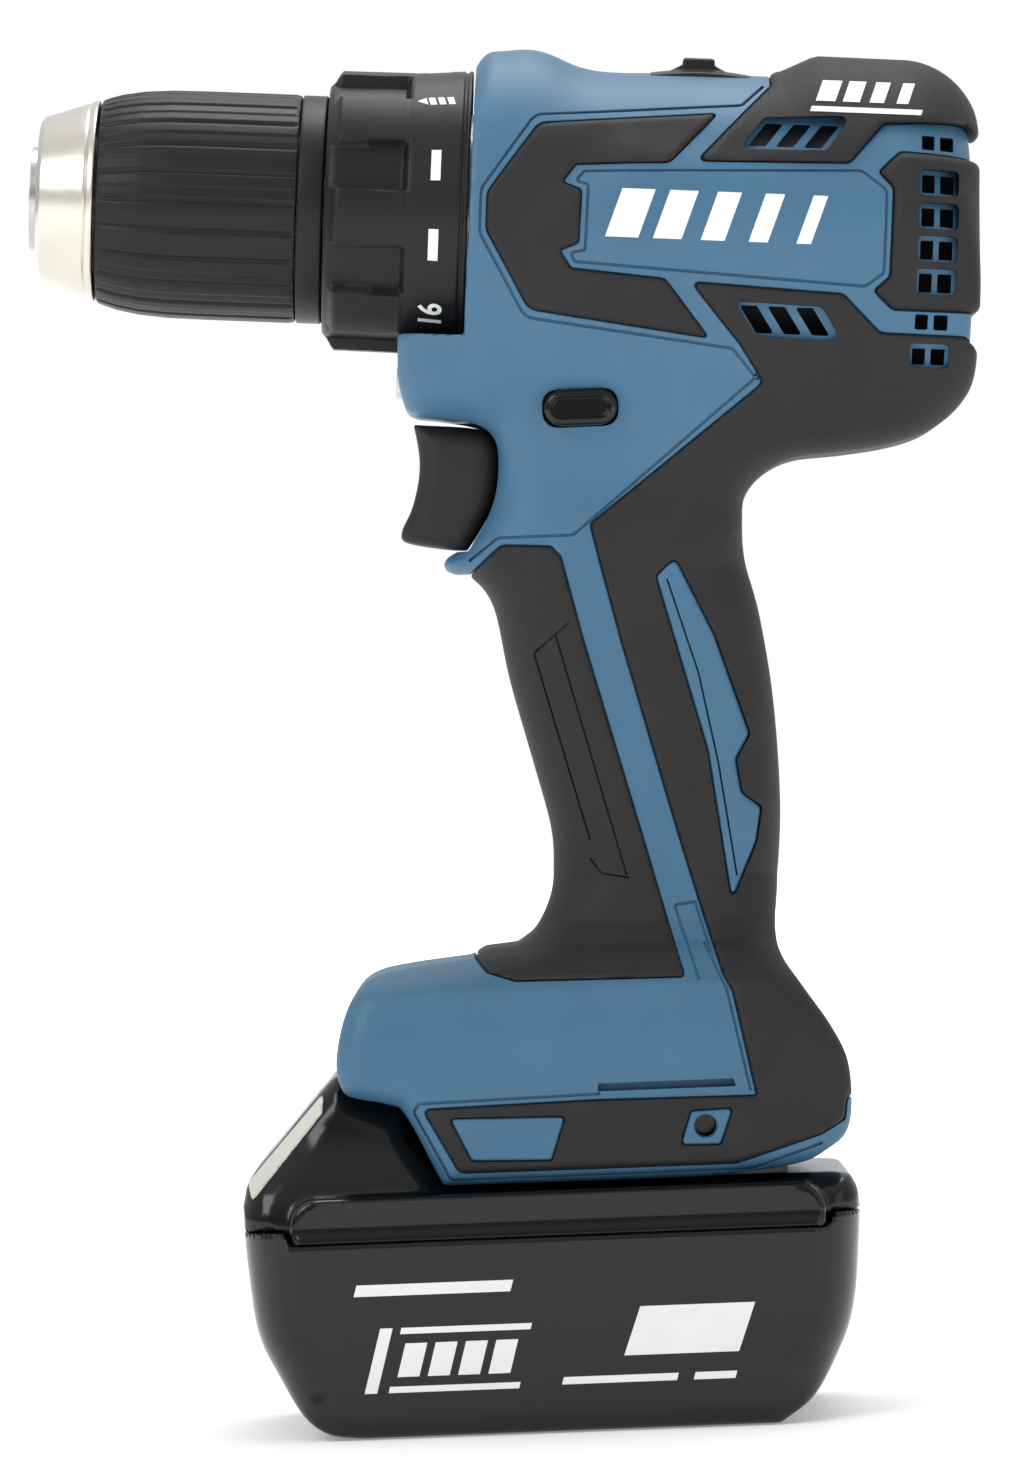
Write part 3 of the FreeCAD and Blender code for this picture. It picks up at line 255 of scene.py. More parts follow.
def new_mesh(name, points, faces):
    mesh = bpy.data.meshes.new(name)
    mesh.from_pydata((np.asarray(points) * MM).tolist(), [], np.asarray(faces).tolist()
                     if isinstance(faces, np.ndarray) else faces)
    mesh.update()
    obj = bpy.data.objects.new(name, mesh)
    bpy.context.scene.collection.objects.link(obj)
    return obj


# ------------------------------------------------------------------ solids and booleans
def prism(name, outline, y0, y1, tilted=False):
    """A closed side-view outline pushed through from y0 to y1; tilted outlines are in the barrel frame."""
    outline = np.asarray(outline, float)
    if tilted:
        outline = np.stack(from_barrel(outline[:, 0], outline[:, 1]), 1)
    after = np.roll(outline, -1, 0)
    if np.sum(outline[:, 0] * after[:, 1] - after[:, 0] * outline[:, 1]) < 0:
        outline = outline[::-1]
    count = len(outline)
    near = np.stack([outline[:, 0], np.full(count, y0), outline[:, 1]], 1)
    far = np.stack([outline[:, 0], np.full(count, y1), outline[:, 1]], 1)
    faces = [list(range(count)), list(range(2 * count - 1, count - 1, -1))]
    faces += [[i, i + count, (i + 1) % count + count, (i + 1) % count] for i in range(count)]
    return new_mesh(name, np.concatenate([near, far]), faces)


def ribbon(name, line, width, y0, y1, closed=False):
    """A thin wall that follows a side-view line."""
    line = np.asarray(line, float)
    if closed:
        along = np.roll(line, -1, 0) - np.roll(line, 1, 0)
    else:
        along = np.gradient(line, axis=0)
    along /= np.maximum(np.linalg.norm(along, axis=1), 1e-9)[:, None]
    across = np.stack([-along[:, 1], along[:, 0]], 1) * width / 2
    count = len(line)
    points = [np.stack([p[:, 0], np.full(count, y), p[:, 1]], 1)
              for y in (y0, y1) for p in (line + across, line - across)]
    faces = []
    for i in range(count if closed else count - 1):
        j = (i + 1) % count
        faces += [[r * count + i, r * count + j, q * count + j, q * count + i]
                  for r, q in ((0, 1), (1, 3), (3, 2), (2, 0))]
    if not closed:
        last = count - 1
        faces += [[0, 2 * count, 3 * count, count], [last, count + last, 3 * count + last, 2 * count + last]]
    return face_outwards(new_mesh(name, np.concatenate(points), faces))


def face_outwards(obj):
    """Turn a closed mesh's faces outwards."""
    shape = bmesh.new()
    shape.from_mesh(obj.data)
    bmesh.ops.recalc_face_normals(shape, faces=shape.faces)
    shape.to_mesh(obj.data)
    shape.free()
    return obj


def block(name, x0, x1, y0, y1, z0, z1):
    return prism(name, [(x0, z0), (x1, z0), (x1, z1), (x0, z1)], y0, y1)


def boolean(base, operation, *others, keep=False):
    """Apply a boolean of one mesh with others, and drop the others unless keep."""
    for other in others:
        step = base.modifiers.new("step", "BOOLEAN")
        step.operation, step.solver, step.object = operation, "MANIFOLD", other
        graph = bpy.context.evaluated_depsgraph_get()
        result = bpy.data.meshes.new_from_object(base.evaluated_get(graph))
        base.modifiers.remove(step)
        old, base.data = base.data, result
        bpy.data.meshes.remove(old)
        if not keep:
            drop(other)
    return base


def drop(obj):
    mesh = obj.data
    bpy.data.objects.remove(obj)
    bpy.data.meshes.remove(mesh)


def mirrored(obj, name):
    """The same piece on the other side of the mid-plane."""
    twin = bpy.data.objects.new(name, obj.data.copy())
    bpy.context.scene.collection.objects.link(twin)
    twin.data.transform(Matrix.Scale(-1, 4, (0, 1, 0)))
    twin.data.flip_normals()
    return twin


def turned(name, profile, segments, relief=None):
    """A closed (x, radius) profile turned about the barrel axis; relief adds to the radius at each angle."""
    profile = np.asarray(profile, float)
    angle = 2 * math.pi * np.arange(segments) / segments
    x = np.repeat(profile[:, :1], segments, 1)
    radius = np.repeat(profile[:, 1:2], segments, 1)
    if relief:
        radius = radius + relief(x, radius, angle[None, :])
    y = -radius * np.sin(angle)
    x, z = from_barrel(x, radius * np.cos(angle))
    index = np.arange(x.size).reshape(x.shape)
    down, round_ = np.roll(index, -1, 0), np.roll(index, -1, 1)
    faces = np.stack([index, down, np.roll(down, -1, 1), round_], -1).reshape(-1, 4)
    return face_outwards(new_mesh(name, np.stack([x, y, z], -1).reshape(-1, 3), faces))


def dense(outline, step):
    """The same closed outline with its long edges divided."""
    points = []
    for here, there in zip(outline, np.roll(outline, -1, 0)):
        parts = max(1, int(np.linalg.norm(there - here) / step))
        points += [here + (there - here) * part / parts for part in range(parts)]
    return np.array(points)


def smooth_step(low, high, value):
    t = np.clip((value - low) / (high - low), 0, 1)
    return t * t * (3 - 2 * t)


def bar(*points):
    """Barrel-frame outline points, with their radii, in the row frame."""
    return [(*from_barrel(*point[:2]), *point[2:]) for point in points]


# ------------------------------------------------------------------ the housing's form
BARREL_RADIUS = 29.3
NOSE_END, CHIN_SHELF = 0.6, -24.6
BLUE_END, PAD_END = 98.3, 99.9
END_ROUND = 15.0
PAD_PROUD = 0.8
blue_top = through([(-6, 27), (0, 27.8), (2, 30.9), (5.5, 32.4), (10, 32.9), (15, 32.2), (20, 30.2), (25, 29.2),
                    (34, 29.2), (60, 29.4), (110, 29.4)])
GUARD_TOP = ((0, 58.5, 60.5, 66.2, 67.6, 85, 110), (30.1, 30.1, 30.6, 33.4, 33.8, 33.7, 32.4))
MERGE = 6.0


def guard_top(x):
    return np.interp(x, *GUARD_TOP)


LOWER_SIDE = [
    (-23, 216, 1), (-23.4, 207), (-23.1, 201.5), (-21.4, 197.4), (-15.7, 196.2), (-8.4, 194.5), (-5.2, 191.6),
    (-4.7, 186.5), (-6.6, 178.6), (-11.2, 171.6), (-15.3, 168.9), (-15.9, 167), (-14, 165.8), (-10.6, 164.9),
    (-6.6, 159), (-4, 144.7), (-0.1, 128.8), (2.9, 116), (3.2, 108), (2.3, 102),
    (-0.6, 96.2), (-4.3, 93.2, 1), (-10.7, 92.6, 1), (-13.6, 90.9, 1), (-25.6, 89.6), (-32.2, 88.2),
    (-35.9, 85.4), (-38.6, 80), (-40.2, 72.5), (-39.6, 67.6), (-37.6, 65.4),
    (-30.5, 63.7), (-27.2, 61.5), (-20.4, 47.7, 1), (26.6, 47.6), (38.9, 48.3), (48.7, 49.6), (53.4, 51.8),
    (57.2, 54.8), (58.6, 60), (58.2, 68.8), (55.2, 75.7), (50, 83.7), (46.6, 89.3), (45.8, 94.5), (46.8, 103.5),
    (48, 119), (47.4, 138.8), (45.3, 155.6), (42.8, 166.4), (42.5, 174.3), *bar(
        (56.6, -52.8), (60.4, -48.2), (66, -45.3), (75, -43.9), (84, -42.1), (91, -39.5), (96.5, -35),
        (100, -29), (101.3, -23.5), (101.4, -12), (95, 5, 1), (30, 12, 1))]
STRAIGHT_WIDTHS = ([44, 76, 77.6, 83.4, 85, 91, 93, 97, 105, 130, 150, 165, 175, 190],
                   [32, 32, 31.8, 30.6, 29.9, 24, 21.4, 18, 16.5, 16, 16.3, 16.8, 17.3, 17.6])
belly_width = through([(-60, 17), (-50, 17.4), (-44, 18.8), (-38, 21), (-30, 24.3), (-20, 27.3), (-10, 28.9),
                       (0, 29.3), (40, 29.3)])
EDGE_ROUNDS = ([44, 86, 92, 100, 105, 165, 172, 182, 190, 215, 260],
               [4, 5, 9, 12, 15, 15, 11, 9.5, 8, 7, 7])

side_curve = smooth_path(LOWER_SIDE)
side_gap = SideMap((-48, 40), (110, 275), 0.5, lambda x, z: outline_distance(x, z, side_curve))


def lower_form(x, y, z, more):
    """The chin, belly, handle and base: the side outline given a width and rounded edges."""
    xb, zb = to_barrel(x, z)
    blend = smooth_step(172, 188, z)
    half = (1 - blend) * np.interp(z, *STRAIGHT_WIDTHS) + blend * belly_width(zb)
    half = half + more - 0.25 * np.maximum(5 - xb, 0) * blend
    radius = np.interp(z, *EDGE_ROUNDS)
    radius = radius + (5 - radius) * smooth_step(2, -8, xb) * blend
    return rounded_meet(side_gap(x, z), np.abs(y) - half, np.minimum(radius, half - 0.2))


def barrel_form(x, y, z, top, more, end):
    xb, zb = to_barrel(x, z)
    reach = np.sqrt(y * y + zb * zb) + 1e-6
    crown = np.maximum(zb / reach, 0)**3
    tube = reach - (BARREL_RADIUS + more + (top(xb) - BARREL_RADIUS - more) * crown)
    return smax(rounded_meet(tube, xb - end, END_ROUND), NOSE_END - xb, 0.8)


def blue_form(x, y, z):
    xb, zb = to_barrel(x, z)
    whole = smin(barrel_form(x, y, z, blue_top, 0, BLUE_END), lower_form(x, y, z, 0), MERGE)
    shelf = np.minimum(NOSE_END - xb, zb - CHIN_SHELF) + 0 * y
    return smax(smax(whole, xb - BLUE_END, 2), shelf, 0.5)


def pad_form(x, y, z):
    whole = smin(barrel_form(x, y, z, guard_top, PAD_PROUD, PAD_END), lower_form(x, y, z, PAD_PROUD), MERGE)
    return smax(whole, to_barrel(x, z)[0] - PAD_END, 1.5)


# ------------------------------------------------------------------ materials
def node_in(tree, kind, **inputs):
    """A shader node; an input (its spaces written as _) takes a value, or another node's output."""
    node = tree.nodes.new("ShaderNode" + kind)
    for name, value in inputs.items():
        socket = node.inputs[name.replace("_", " ")]
        if isinstance(value, bpy.types.NodeSocket):
            tree.links.new(value, socket)
        else:
            socket.default_value = value
    return node


def value_noise(tree, scale, detail=3.0, rough=0.55, stretch=(1, 1, 1)):
    """A noise over the object's own coordinates, its scale in features per metre."""
    place = node_in(tree, "Mapping", Vector=node_in(tree, "TexCoord").outputs["Object"], Scale=stretch)
    return node_in(tree, "TexNoise", Vector=place.outputs["Vector"], Scale=scale, Detail=detail,
                   Roughness=rough).outputs["Fac"]


def ranged(tree, source, low, high, start=0.3, stop=0.7):
    """The source's stretch from start to stop, spread from low to high."""
    return node_in(tree, "MapRange", Value=source, From_Min=start, From_Max=stop, To_Min=low,
                   To_Max=high).outputs["Result"]


def mixed(tree, share, dark, light):
    node = tree.nodes.new("ShaderNodeMix")
    node.data_type = "RGBA"
    tree.links.new(share, node.inputs["Factor"])
    for socket, value in ((node.inputs["A"], dark), (node.inputs["B"], light)):
        if isinstance(value, tuple):
            socket.default_value = (*value, 1)
        else:
            tree.links.new(value, socket)
    return node.outputs["Result"]


def material(name, colour, rough, spread=0.08, grain=0.0, grain_scale=2500, grain_depth=0.03, metal=0.0,
             coat=0.0, wear=0.0, edge=0.35, stretch=(1, 1, 1), specular=0.5):
    """A moulded, turned or drawn surface: mottled colour, uneven gloss, fine grain and soft edges."""
    made = bpy.data.materials.new(name)
    made.use_nodes = True
    tree = made.node_tree
    shader = tree.nodes["Principled BSDF"]
    fine = value_noise(tree, grain_scale, 2, 0.6, stretch)
    dark = tuple(c * (1 - spread) for c in colour)
    light = tuple(min(1, c * (1 + spread)) for c in colour)
    tint = mixed(tree, ranged(tree, value_noise(tree, 60, 4), 0, 1), dark, light)
    if wear:
        worn = tuple(min(1, c * 1.7 + 0.02) for c in colour)
        edges = node_in(tree, "NewGeometry").outputs["Pointiness"]
        tint = mixed(tree, ranged(tree, edges, 0, wear, 0.52, 0.62), tint, worn)
    tree.links.new(tint, shader.inputs["Base Color"])
    tree.links.new(ranged(tree, fine, rough - spread / 2, rough + spread / 2), shader.inputs["Roughness"])
    for socket, value in (("Metallic", metal), ("Coat Weight", coat), ("Coat Roughness", 0.08),
                          ("Specular IOR Level", specular)):
        shader.inputs[socket].default_value = value
    soft = node_in(tree, "Bevel", Radius=edge * MM)
    bump = node_in(tree, "Bump", Strength=grain, Distance=grain_depth * MM, Height=fine,
                   Normal=soft.outputs["Normal"])
    tree.links.new(bump.outputs["Normal"], shader.inputs["Normal"])
    return made


BLUE = (0.044, 0.135, 0.232)
FINISHES = {
    "housing_shell": material("teal_plastic", BLUE, 0.50, 0.05, 0.25, 3000, 0.02, wear=0.25),
    "overmould": material("black_rubber", (0.019, 0.018, 0.019), 0.62, 0.12, 0.6, 2400, 0.05, wear=0.2,
                          specular=0.28),
    "black_plastic": material("satin_black_plastic", (0.010, 0.0095, 0.010), 0.42, 0.10, 0.4, 3200, 0.03, wear=0.1,
                              specular=0.26),
    "gloss_black": material("gloss_black_plastic", (0.004, 0.004, 0.004), 0.16, 0.04, 0.12, 1500, 0.02,
                            specular=0.38),
    "nose_metal": material("satin_nickel", (0.66, 0.62, 0.55), 0.30, 0.05, 0.25, 900, 0.01, metal=1.0),
    "dark_steel": material("dark_steel", (0.10, 0.10, 0.105), 0.36, 0.10, 0.3, 1500, 0.02, metal=0.9),
    "steel": material("bright_steel", (0.52, 0.52, 0.53), 0.30, 0.08, 0.3, 1400, 0.02, metal=1.0),
    "cast_metal": material("cast_zinc", (0.38, 0.39, 0.40), 0.50, 0.12, 0.8, 1100, 0.08, metal=0.9),
    "motor_core": material("laminated_core", (0.20, 0.20, 0.21), 0.45, 0.15, 0.8, 700, 0.08, metal=0.85,
                           stretch=(6, 0.3, 0.3)),
    "copper": material("copper", (0.75, 0.33, 0.17), 0.32, 0.12, 0.3, 1200, 0.03, metal=1.0),
    "board_green": material("circuit_board", (0.02, 0.13, 0.06), 0.40, 0.2, 0.3, 900, 0.03),
    "lens_clear": material("clear_lens", (0.80, 0.82, 0.84), 0.08, 0.03, 0.1, 800, 0.01, coat=0.5),
    "cell_wrap": material("cell_wrap", (0.05, 0.20, 0.13), 0.35, 0.08, 0.2, 1200, 0.02, coat=0.2),
}
PRINT = material("white_print", (0.82, 0.82, 0.80), 0.55, 0.04, 0.2, 2500, 0.01, edge=0.05)
# painted highlight: the pale colour of the strip along the glossy front slope of the battery's hump
HIGHLIGHT_PAINT = material("painted_highlight", (0.60, 0.60, 0.52), 0.5, 0.05, 0.2, 2000, 0.01, edge=0.1)


def painted(obj, paint):
    """Give a mesh one material."""
    obj.data.materials.clear()
    obj.data.materials.append(paint)
    return obj


def finish(obj, slot, body, replaced=(), smooth=34):
    """Give a piece its finish, its body and the CAD nodes that it stands for."""
    painted(obj, FINISHES[slot])
    obj.data.shade_smooth()
    obj.data.set_sharp_from_angle(angle=math.radians(smooth))
    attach(obj, body)
    if replaced:
        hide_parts(*replaced)


# ------------------------------------------------------------------ outlines on the housing's side
# points are (x, z, corner radius); bar(...) holds points given in the barrel frame
FRONT_PAD = bar((47.8, 20, 0.4), (13.6, 16.8, 3), (4.2, 2.8, 3.5), (4.2, -4.4, 3.5), (12.9, -19.3, 3.5),
                (47.6, -23.4, 0.4), (38.8, -12.7, 2), (20.7, -11.4, 1), (18.2, -7.9, 0.8), (21.9, -6.4, 0.8),
                (22.1, 3.8, 0.8), (18.3, 5.2, 0.8), (20.9, 8.9, 1), (38.9, 9.9, 2))
GUARD = bar((58.3, 26.4, 0.8), (44.3, 10.4, 0.8), (73.6, 11.2, 2), (80, 19.4, 1.5), (96.2, 20.4, 1.2), (99, 18.3, 1),
            (110, 18.3, 0.4), (110, 44, 1), (58.3, 44, 1))
REAR_PAD = bar((79.3, 9.6, 0.8), (83.3, 13.7, 2), (110, 12.8, 0.4), (110, -16.8, 0.4), (82.9, -16.8, 2),
               (79.1, -13.4, 0.8), (82.1, -10.6, 2), (82.2, 6.6, 2))
GRIP = [*bar((44.0, -13.1, 0.8), (73.2, -14.3, 2), (80.7, -21.4, 2), (97, -21.6, 1.2), (100.4, -24, 0.6),
             (110, -24, 1)), (130, 62, 1), (57.6, 61.8, 0.6), (57, 57.8, 0.5), (52.4, 55.2, 1), (36, 50.2, 3),
        (-17.2, 50.3, 1.5), (-23.8, 62.6, 1), (9.2, 63.2, 1), (40.4, 62.9, 0.5), (36.6, 83, 1), (34.9, 86.4, 1),
        (27.4, 114.3), (18, 151.2), (14.3, 167.2, 1), (12.8, 174.2, 1), (47.2, 200, 1.6), (43, 207.3, 1)]
FINGER_PAD = [(-12.9, 91.4, 1.2), (-10.6, 88.4, 1.5), (-5, 86.6, 2), (27.4, 86.2, 0.8), (19.9, 115.7),
              (10.4, 152.1), (6.7, 168.2, 1.2), (4.9, 170.1, 1.2), (-4.6, 170.7, 2), (-10.9, 165.5, 1),
              (-30, 165, 1), (-30, 97, 1), (-12.6, 97, 1)]
INSERT = [(25.1, 163.6, 1.2), (28.9, 167, 1.2), (36, 151.7, 8), (42.1, 132.4, 1), (39.2, 127.6, 1.5),
          (40.1, 121, 1.5), (43.9, 118, 1), (42.7, 111.6, 3), (37.4, 100.2, 0.8), (33.9, 129.5, 20)]
UPPER_VENT = bar((52.2, 13.1, 1.2), (57, 19.6, 1.4), (73.9, 20.6, 1.6), (69.1, 13.4, 1.6))
LOWER_VENT = bar((52.2, -16.3, 1.2), (69.4, -16.8, 1.6), (73.7, -23.5, 1.6), (56.8, -22.8, 1.4))
BADGE = [(-18.7, 60.7, 0.6), (3.4, 60.3, 0.8), (0.5, 52.1, 0.6), (-14.8, 52.5, 0.8)]
HOOK_PLATE = [(27.6, 60.5, 0.8), (35.6, 60.7, 0.8), (33, 53.9, 0.8), (25.4, 54.1, 0.8)]
HOOK_HOLE = (30.3, 57.5)
BUTTON, BUTTON_HALF, BUTTON_DISH = (11.8, 196.0), 24.6, 23.9
TRIGGER_HALF = 9.4
SELECTOR_X = 44.9
# lines engraved in the blue, with their corner radii, and whether they close
BORDERS = [
    (bar((56.8, 26.4, 1), (52.6, 22, 1.5), (12.7, 18.4, 3), (2.9, 3.4, 3.5), (2.9, -5, 3.5), (12.2, -20.9, 3.5),
         (52.4, -25.3, 1.5), (57.9, -31.4, 1)) + [(46, 202.6, 1.2), (45.8, 201.2, 1.2), (9.4, 172.2, 1.6),
                                                   (-5.3, 172.2, 1.5), (-11, 168)], False),
    (bar((22.6, 7.5, 0.8), (75.9, 9.7, 2), (80.9, 6, 1.5), (80.9, -9.9, 1.5), (77.4, -12.6, 1.5),
         (21.3, -10, 0.8), (20.6, -8.3, 0.6), (23.3, -7.7, 0.6), (23.5, 4.8, 0.6), (21, 5.6, 0.6)), True),
    ([(10.3, 64.4, 0.5), (-24.6, 63.8, 1), (-25.6, 62.2, 0.8), (-18.9, 48.9, 1), (39, 49, 3), (52.6, 53.4, 1)],
     False),
    ([(31.6, 92.4), (35.4, 83.6, 0.8), (39.2, 64, 0.5)], False),
    ([(30.2, 85.6, 0.3), (26.3, 99.8, 0.5), (30.3, 100.2, 0.5), (33.2, 89.5, 0.3)], False),
]
PANEL_LINES = [[(7.9, 155.2), (0.9, 149.6, 0.8), (10.4, 113)], [(5.2, 153), (17.2, 105.9)],
               [(10.2, 109.4), (12.4, 106.4, 2), (17.6, 105.4)]]
INSERT_LINE = [(27.2, 163), (32.6, 144.7), (35.8, 127.1), (38.6, 105)]
PLATE_INSET = 0.12
BODY_LOW, BODY_HIGH = (-44, -36, 44), (98, 4.5, 274)
SEAT, ENGRAVED, WALL = 1.25, 0.5, 3.0
GAP, SEAM = 0.25, 0.05
# a cutter starts outside the near half, at OUTSIDE, and may end past the mid-plane, at PAST
OUTSIDE, PAST = -60, 6


def open_line(points):
    """A line through the points with its inner corners rounded; its ends stay as they are."""
    last = len(points) - 1
    return rounded([(*p[:2], p[2] if len(p) > 2 and 0 < i < last else 0) for i, p in enumerate(points)], 0)


def form_at(depth, form=blue_form):
    """A form shrunk by depth, ending just past the mid-plane."""
    return lambda x, y, z: np.maximum(form(x, y, z) + depth, y - 3)


def side_cut(name, outline, depth=0, spread=GAP, step=3):
    """A cutter from the side down to a depth: an outline with its corners rounded, grown by spread."""
    return prism(name, grown(dense(rounded(outline, 0), step), spread), OUTSIDE, depth)


def vent_slots(outline_corner, lean, height, count=3):
    """The slanting slots behind a vent opening: a corner, the lean over their height, and the height."""
    x0, z0 = outline_corner
    width, pitch = 3.4, 5.4
    return [prism(f"slot_{x0}_{n}", rounded(bar((x, z0), (x + lean, z0 + height), (x + lean + width, z0 + height),
                                                (x + width, z0)), 0.4), OUTSIDE, -8)
            for n, x in enumerate(x0 + pitch * n for n in range(count))]


REAR_ROWS = ((88.4, 9.75, 5.85), (88.4, 3.15, -0.75), (88.4, -3.15, -7.05), (88.4, -9.45, -13.35))
CHANNEL_ROWS = ((88.2, 17.5, 14.3), (88.0, -17.3, -20.5), (87.8, -23.7, -27.1))


def two_slots(row):
    """The pair of openings in a rear vent window."""
    x0, top, bottom = row
    return [prism(f"window_{top}_{n}", rounded(bar((a, top - 0.2), (b, top - 0.2), (b, bottom + 0.1),
                                                    (a, bottom + 0.1)), 0.35), OUTSIDE, -5)
            for n, (a, b) in enumerate(((x0 - 0.7, x0 + 1.8), (x0 + 2.9, x0 + 5.6)))]


def window(name, row):
    """The opening in the soft part over a pair of slots."""
    x0, top, bottom = row
    left, right, high, low = x0 - 1.2, x0 + 6.5, top + 0.7, bottom - 0.5
    return prism(name, rounded(bar((left, high), (right, high), (right, low), (left, low)), 1.1), OUTSIDE, -4)


def straight_ways():
    """The room for the trigger, the battery's tongue and the battery's deck."""
    return [block("trigger_way", -16, 9, -10.2, PAST, 170, 195.7), block("channel", -48, 47, -23.6, PAST, 44, 60.4),
            block("open_floor", -48, 50, -28, PAST, 40, 50.4)]


def build_shell():
    """The near half of the blue clamshell, with all the recesses that both halves share."""
    shell = mesh_of(form_at(0), BODY_LOW, BODY_HIGH, 0.8, "left_shell")
    seat = mesh_of(form_at(SEAT), BODY_LOW, BODY_HIGH, 1.2, "seat")
    skin = mesh_of(form_at(ENGRAVED), BODY_LOW, BODY_HIGH, 1.0, "skin")
    hollow = mesh_of(form_at(WALL), BODY_LOW, BODY_HIGH, 2.2, "hollow")
    for number, outline in enumerate((FRONT_PAD, GUARD, REAR_PAD, GRIP, FINGER_PAD)):
        recess = side_cut(f"recess_{number}", outline, PAST, step=4)
        boolean(shell, "DIFFERENCE", boolean(recess, "DIFFERENCE", seat, keep=True))
    for number, (line, closed) in enumerate(BORDERS):
        curve = rounded(line, 0) if closed else open_line(line)
        groove = ribbon(f"groove_{number}", curve, 0.5, OUTSIDE, -1, closed=closed)
        boolean(shell, "DIFFERENCE", boolean(groove, "DIFFERENCE", skin, keep=True))
    drop(seat)
    drop(skin)
    boolean(shell, "DIFFERENCE", hollow)
    cuts = [*vent_slots((53.9, 13.9), 3.5, 4.8), *vent_slots((56.9, -22.2), -3.5, 5.2)]
    for row in (*REAR_ROWS, *CHANNEL_ROWS):
        cuts += two_slots(row)
    cuts += [
        turned("nose_way", [(-8, 1), (-8, 28.95), (0.9, 28.95), (0.9, 21.2), (12, 21.2), (12, 1)], 96),
        *straight_ways(),
        prism("base_slot", rounded([(9.8, 64.9), (36.4, 64.9), (36.0, 66.4), (10, 66.4)], 0.3), OUTSIDE, -29.2),
        prism("button_way", rounded([(4.3, 193.0), (19.0, 193.0), (19.0, 200.2), (4.3, 200.2)], 3.55, 10),
              OUTSIDE, -12),
    ]
    for cutter in cuts:
        boolean(shell, "DIFFERENCE", cutter)
    return shell


HEAD_SEAT = 11
SCREW_SPOTS = ((68.1, 195.0), (47.9, 193.5), (-11.5, 202.0), (3.5, 163.0), (40.0, 140.0), (10.5, 108.0),
               (-31.0, 82.0), (49.5, 76.0))


def disc(centre, radius, count=32):
    """A circle's outline in the side view."""
    angle = 2 * math.pi * np.arange(count) / count
    return np.stack([centre[0] + radius * np.cos(angle), centre[1] + radius * np.sin(angle)], 1)


def overmould(name, outline, edge, step, low, high, cutters=(), form=pad_form):
    """A soft part of the near half: its outline's edge rounded over, laid on the seat in the shell."""
    curve = rounded(outline, 0)
    gap = SideMap((low[0] - 2, low[2] - 2), (high[0] + 2, high[2] + 2), 0.4,
                  lambda x, z: outline_distance(x, z, curve))
    back = min(3, high[1] - 1)
    obj = mesh_of(lambda x, y, z: np.maximum(rounded_meet(form(x, y, z), gap(x, z) + 0 * y, edge), y - back),
                  low, high, step, name)
    for cutter in cutters:
        boolean(obj, "DIFFERENCE", cutter)
    return obj


def engraved(name, lines, width, depth, form, low, high):
    """A cutter that engraves lines to a depth below a form."""
    core = mesh_of(form_at(depth, form), low, high, 1.0, name + "_core")
    cutters = []
    for number, line in enumerate(lines):
        wall = ribbon(f"{name}_{number}", open_line(line), width, OUTSIDE, -1)
        cutters.append(boolean(wall, "DIFFERENCE", core, keep=True))
    drop(core)
    return cutters


def both_sides(near, slot, names, replaced, screws=()):
    """Cut the near piece at the seam, make its mirror image, and finish the two."""
    far = mirrored(near, names[1])
    near.name = names[0]
    boolean(near, "INTERSECT", block("near_half", -200, 200, OUTSIDE, -SEAM, 0, 400))
    boolean(far, "INTERSECT", block("far_half", -200, 200, SEAM, -OUTSIDE, 0, 400))
    for spot in screws:
        boolean(far, "DIFFERENCE", prism("head_way", disc(spot, 3.1), HEAD_SEAT, -OUTSIDE))
    finish(near, slot, "housing", [replaced.format("left")])
    finish(far, slot, "housing", [replaced.format("right")])


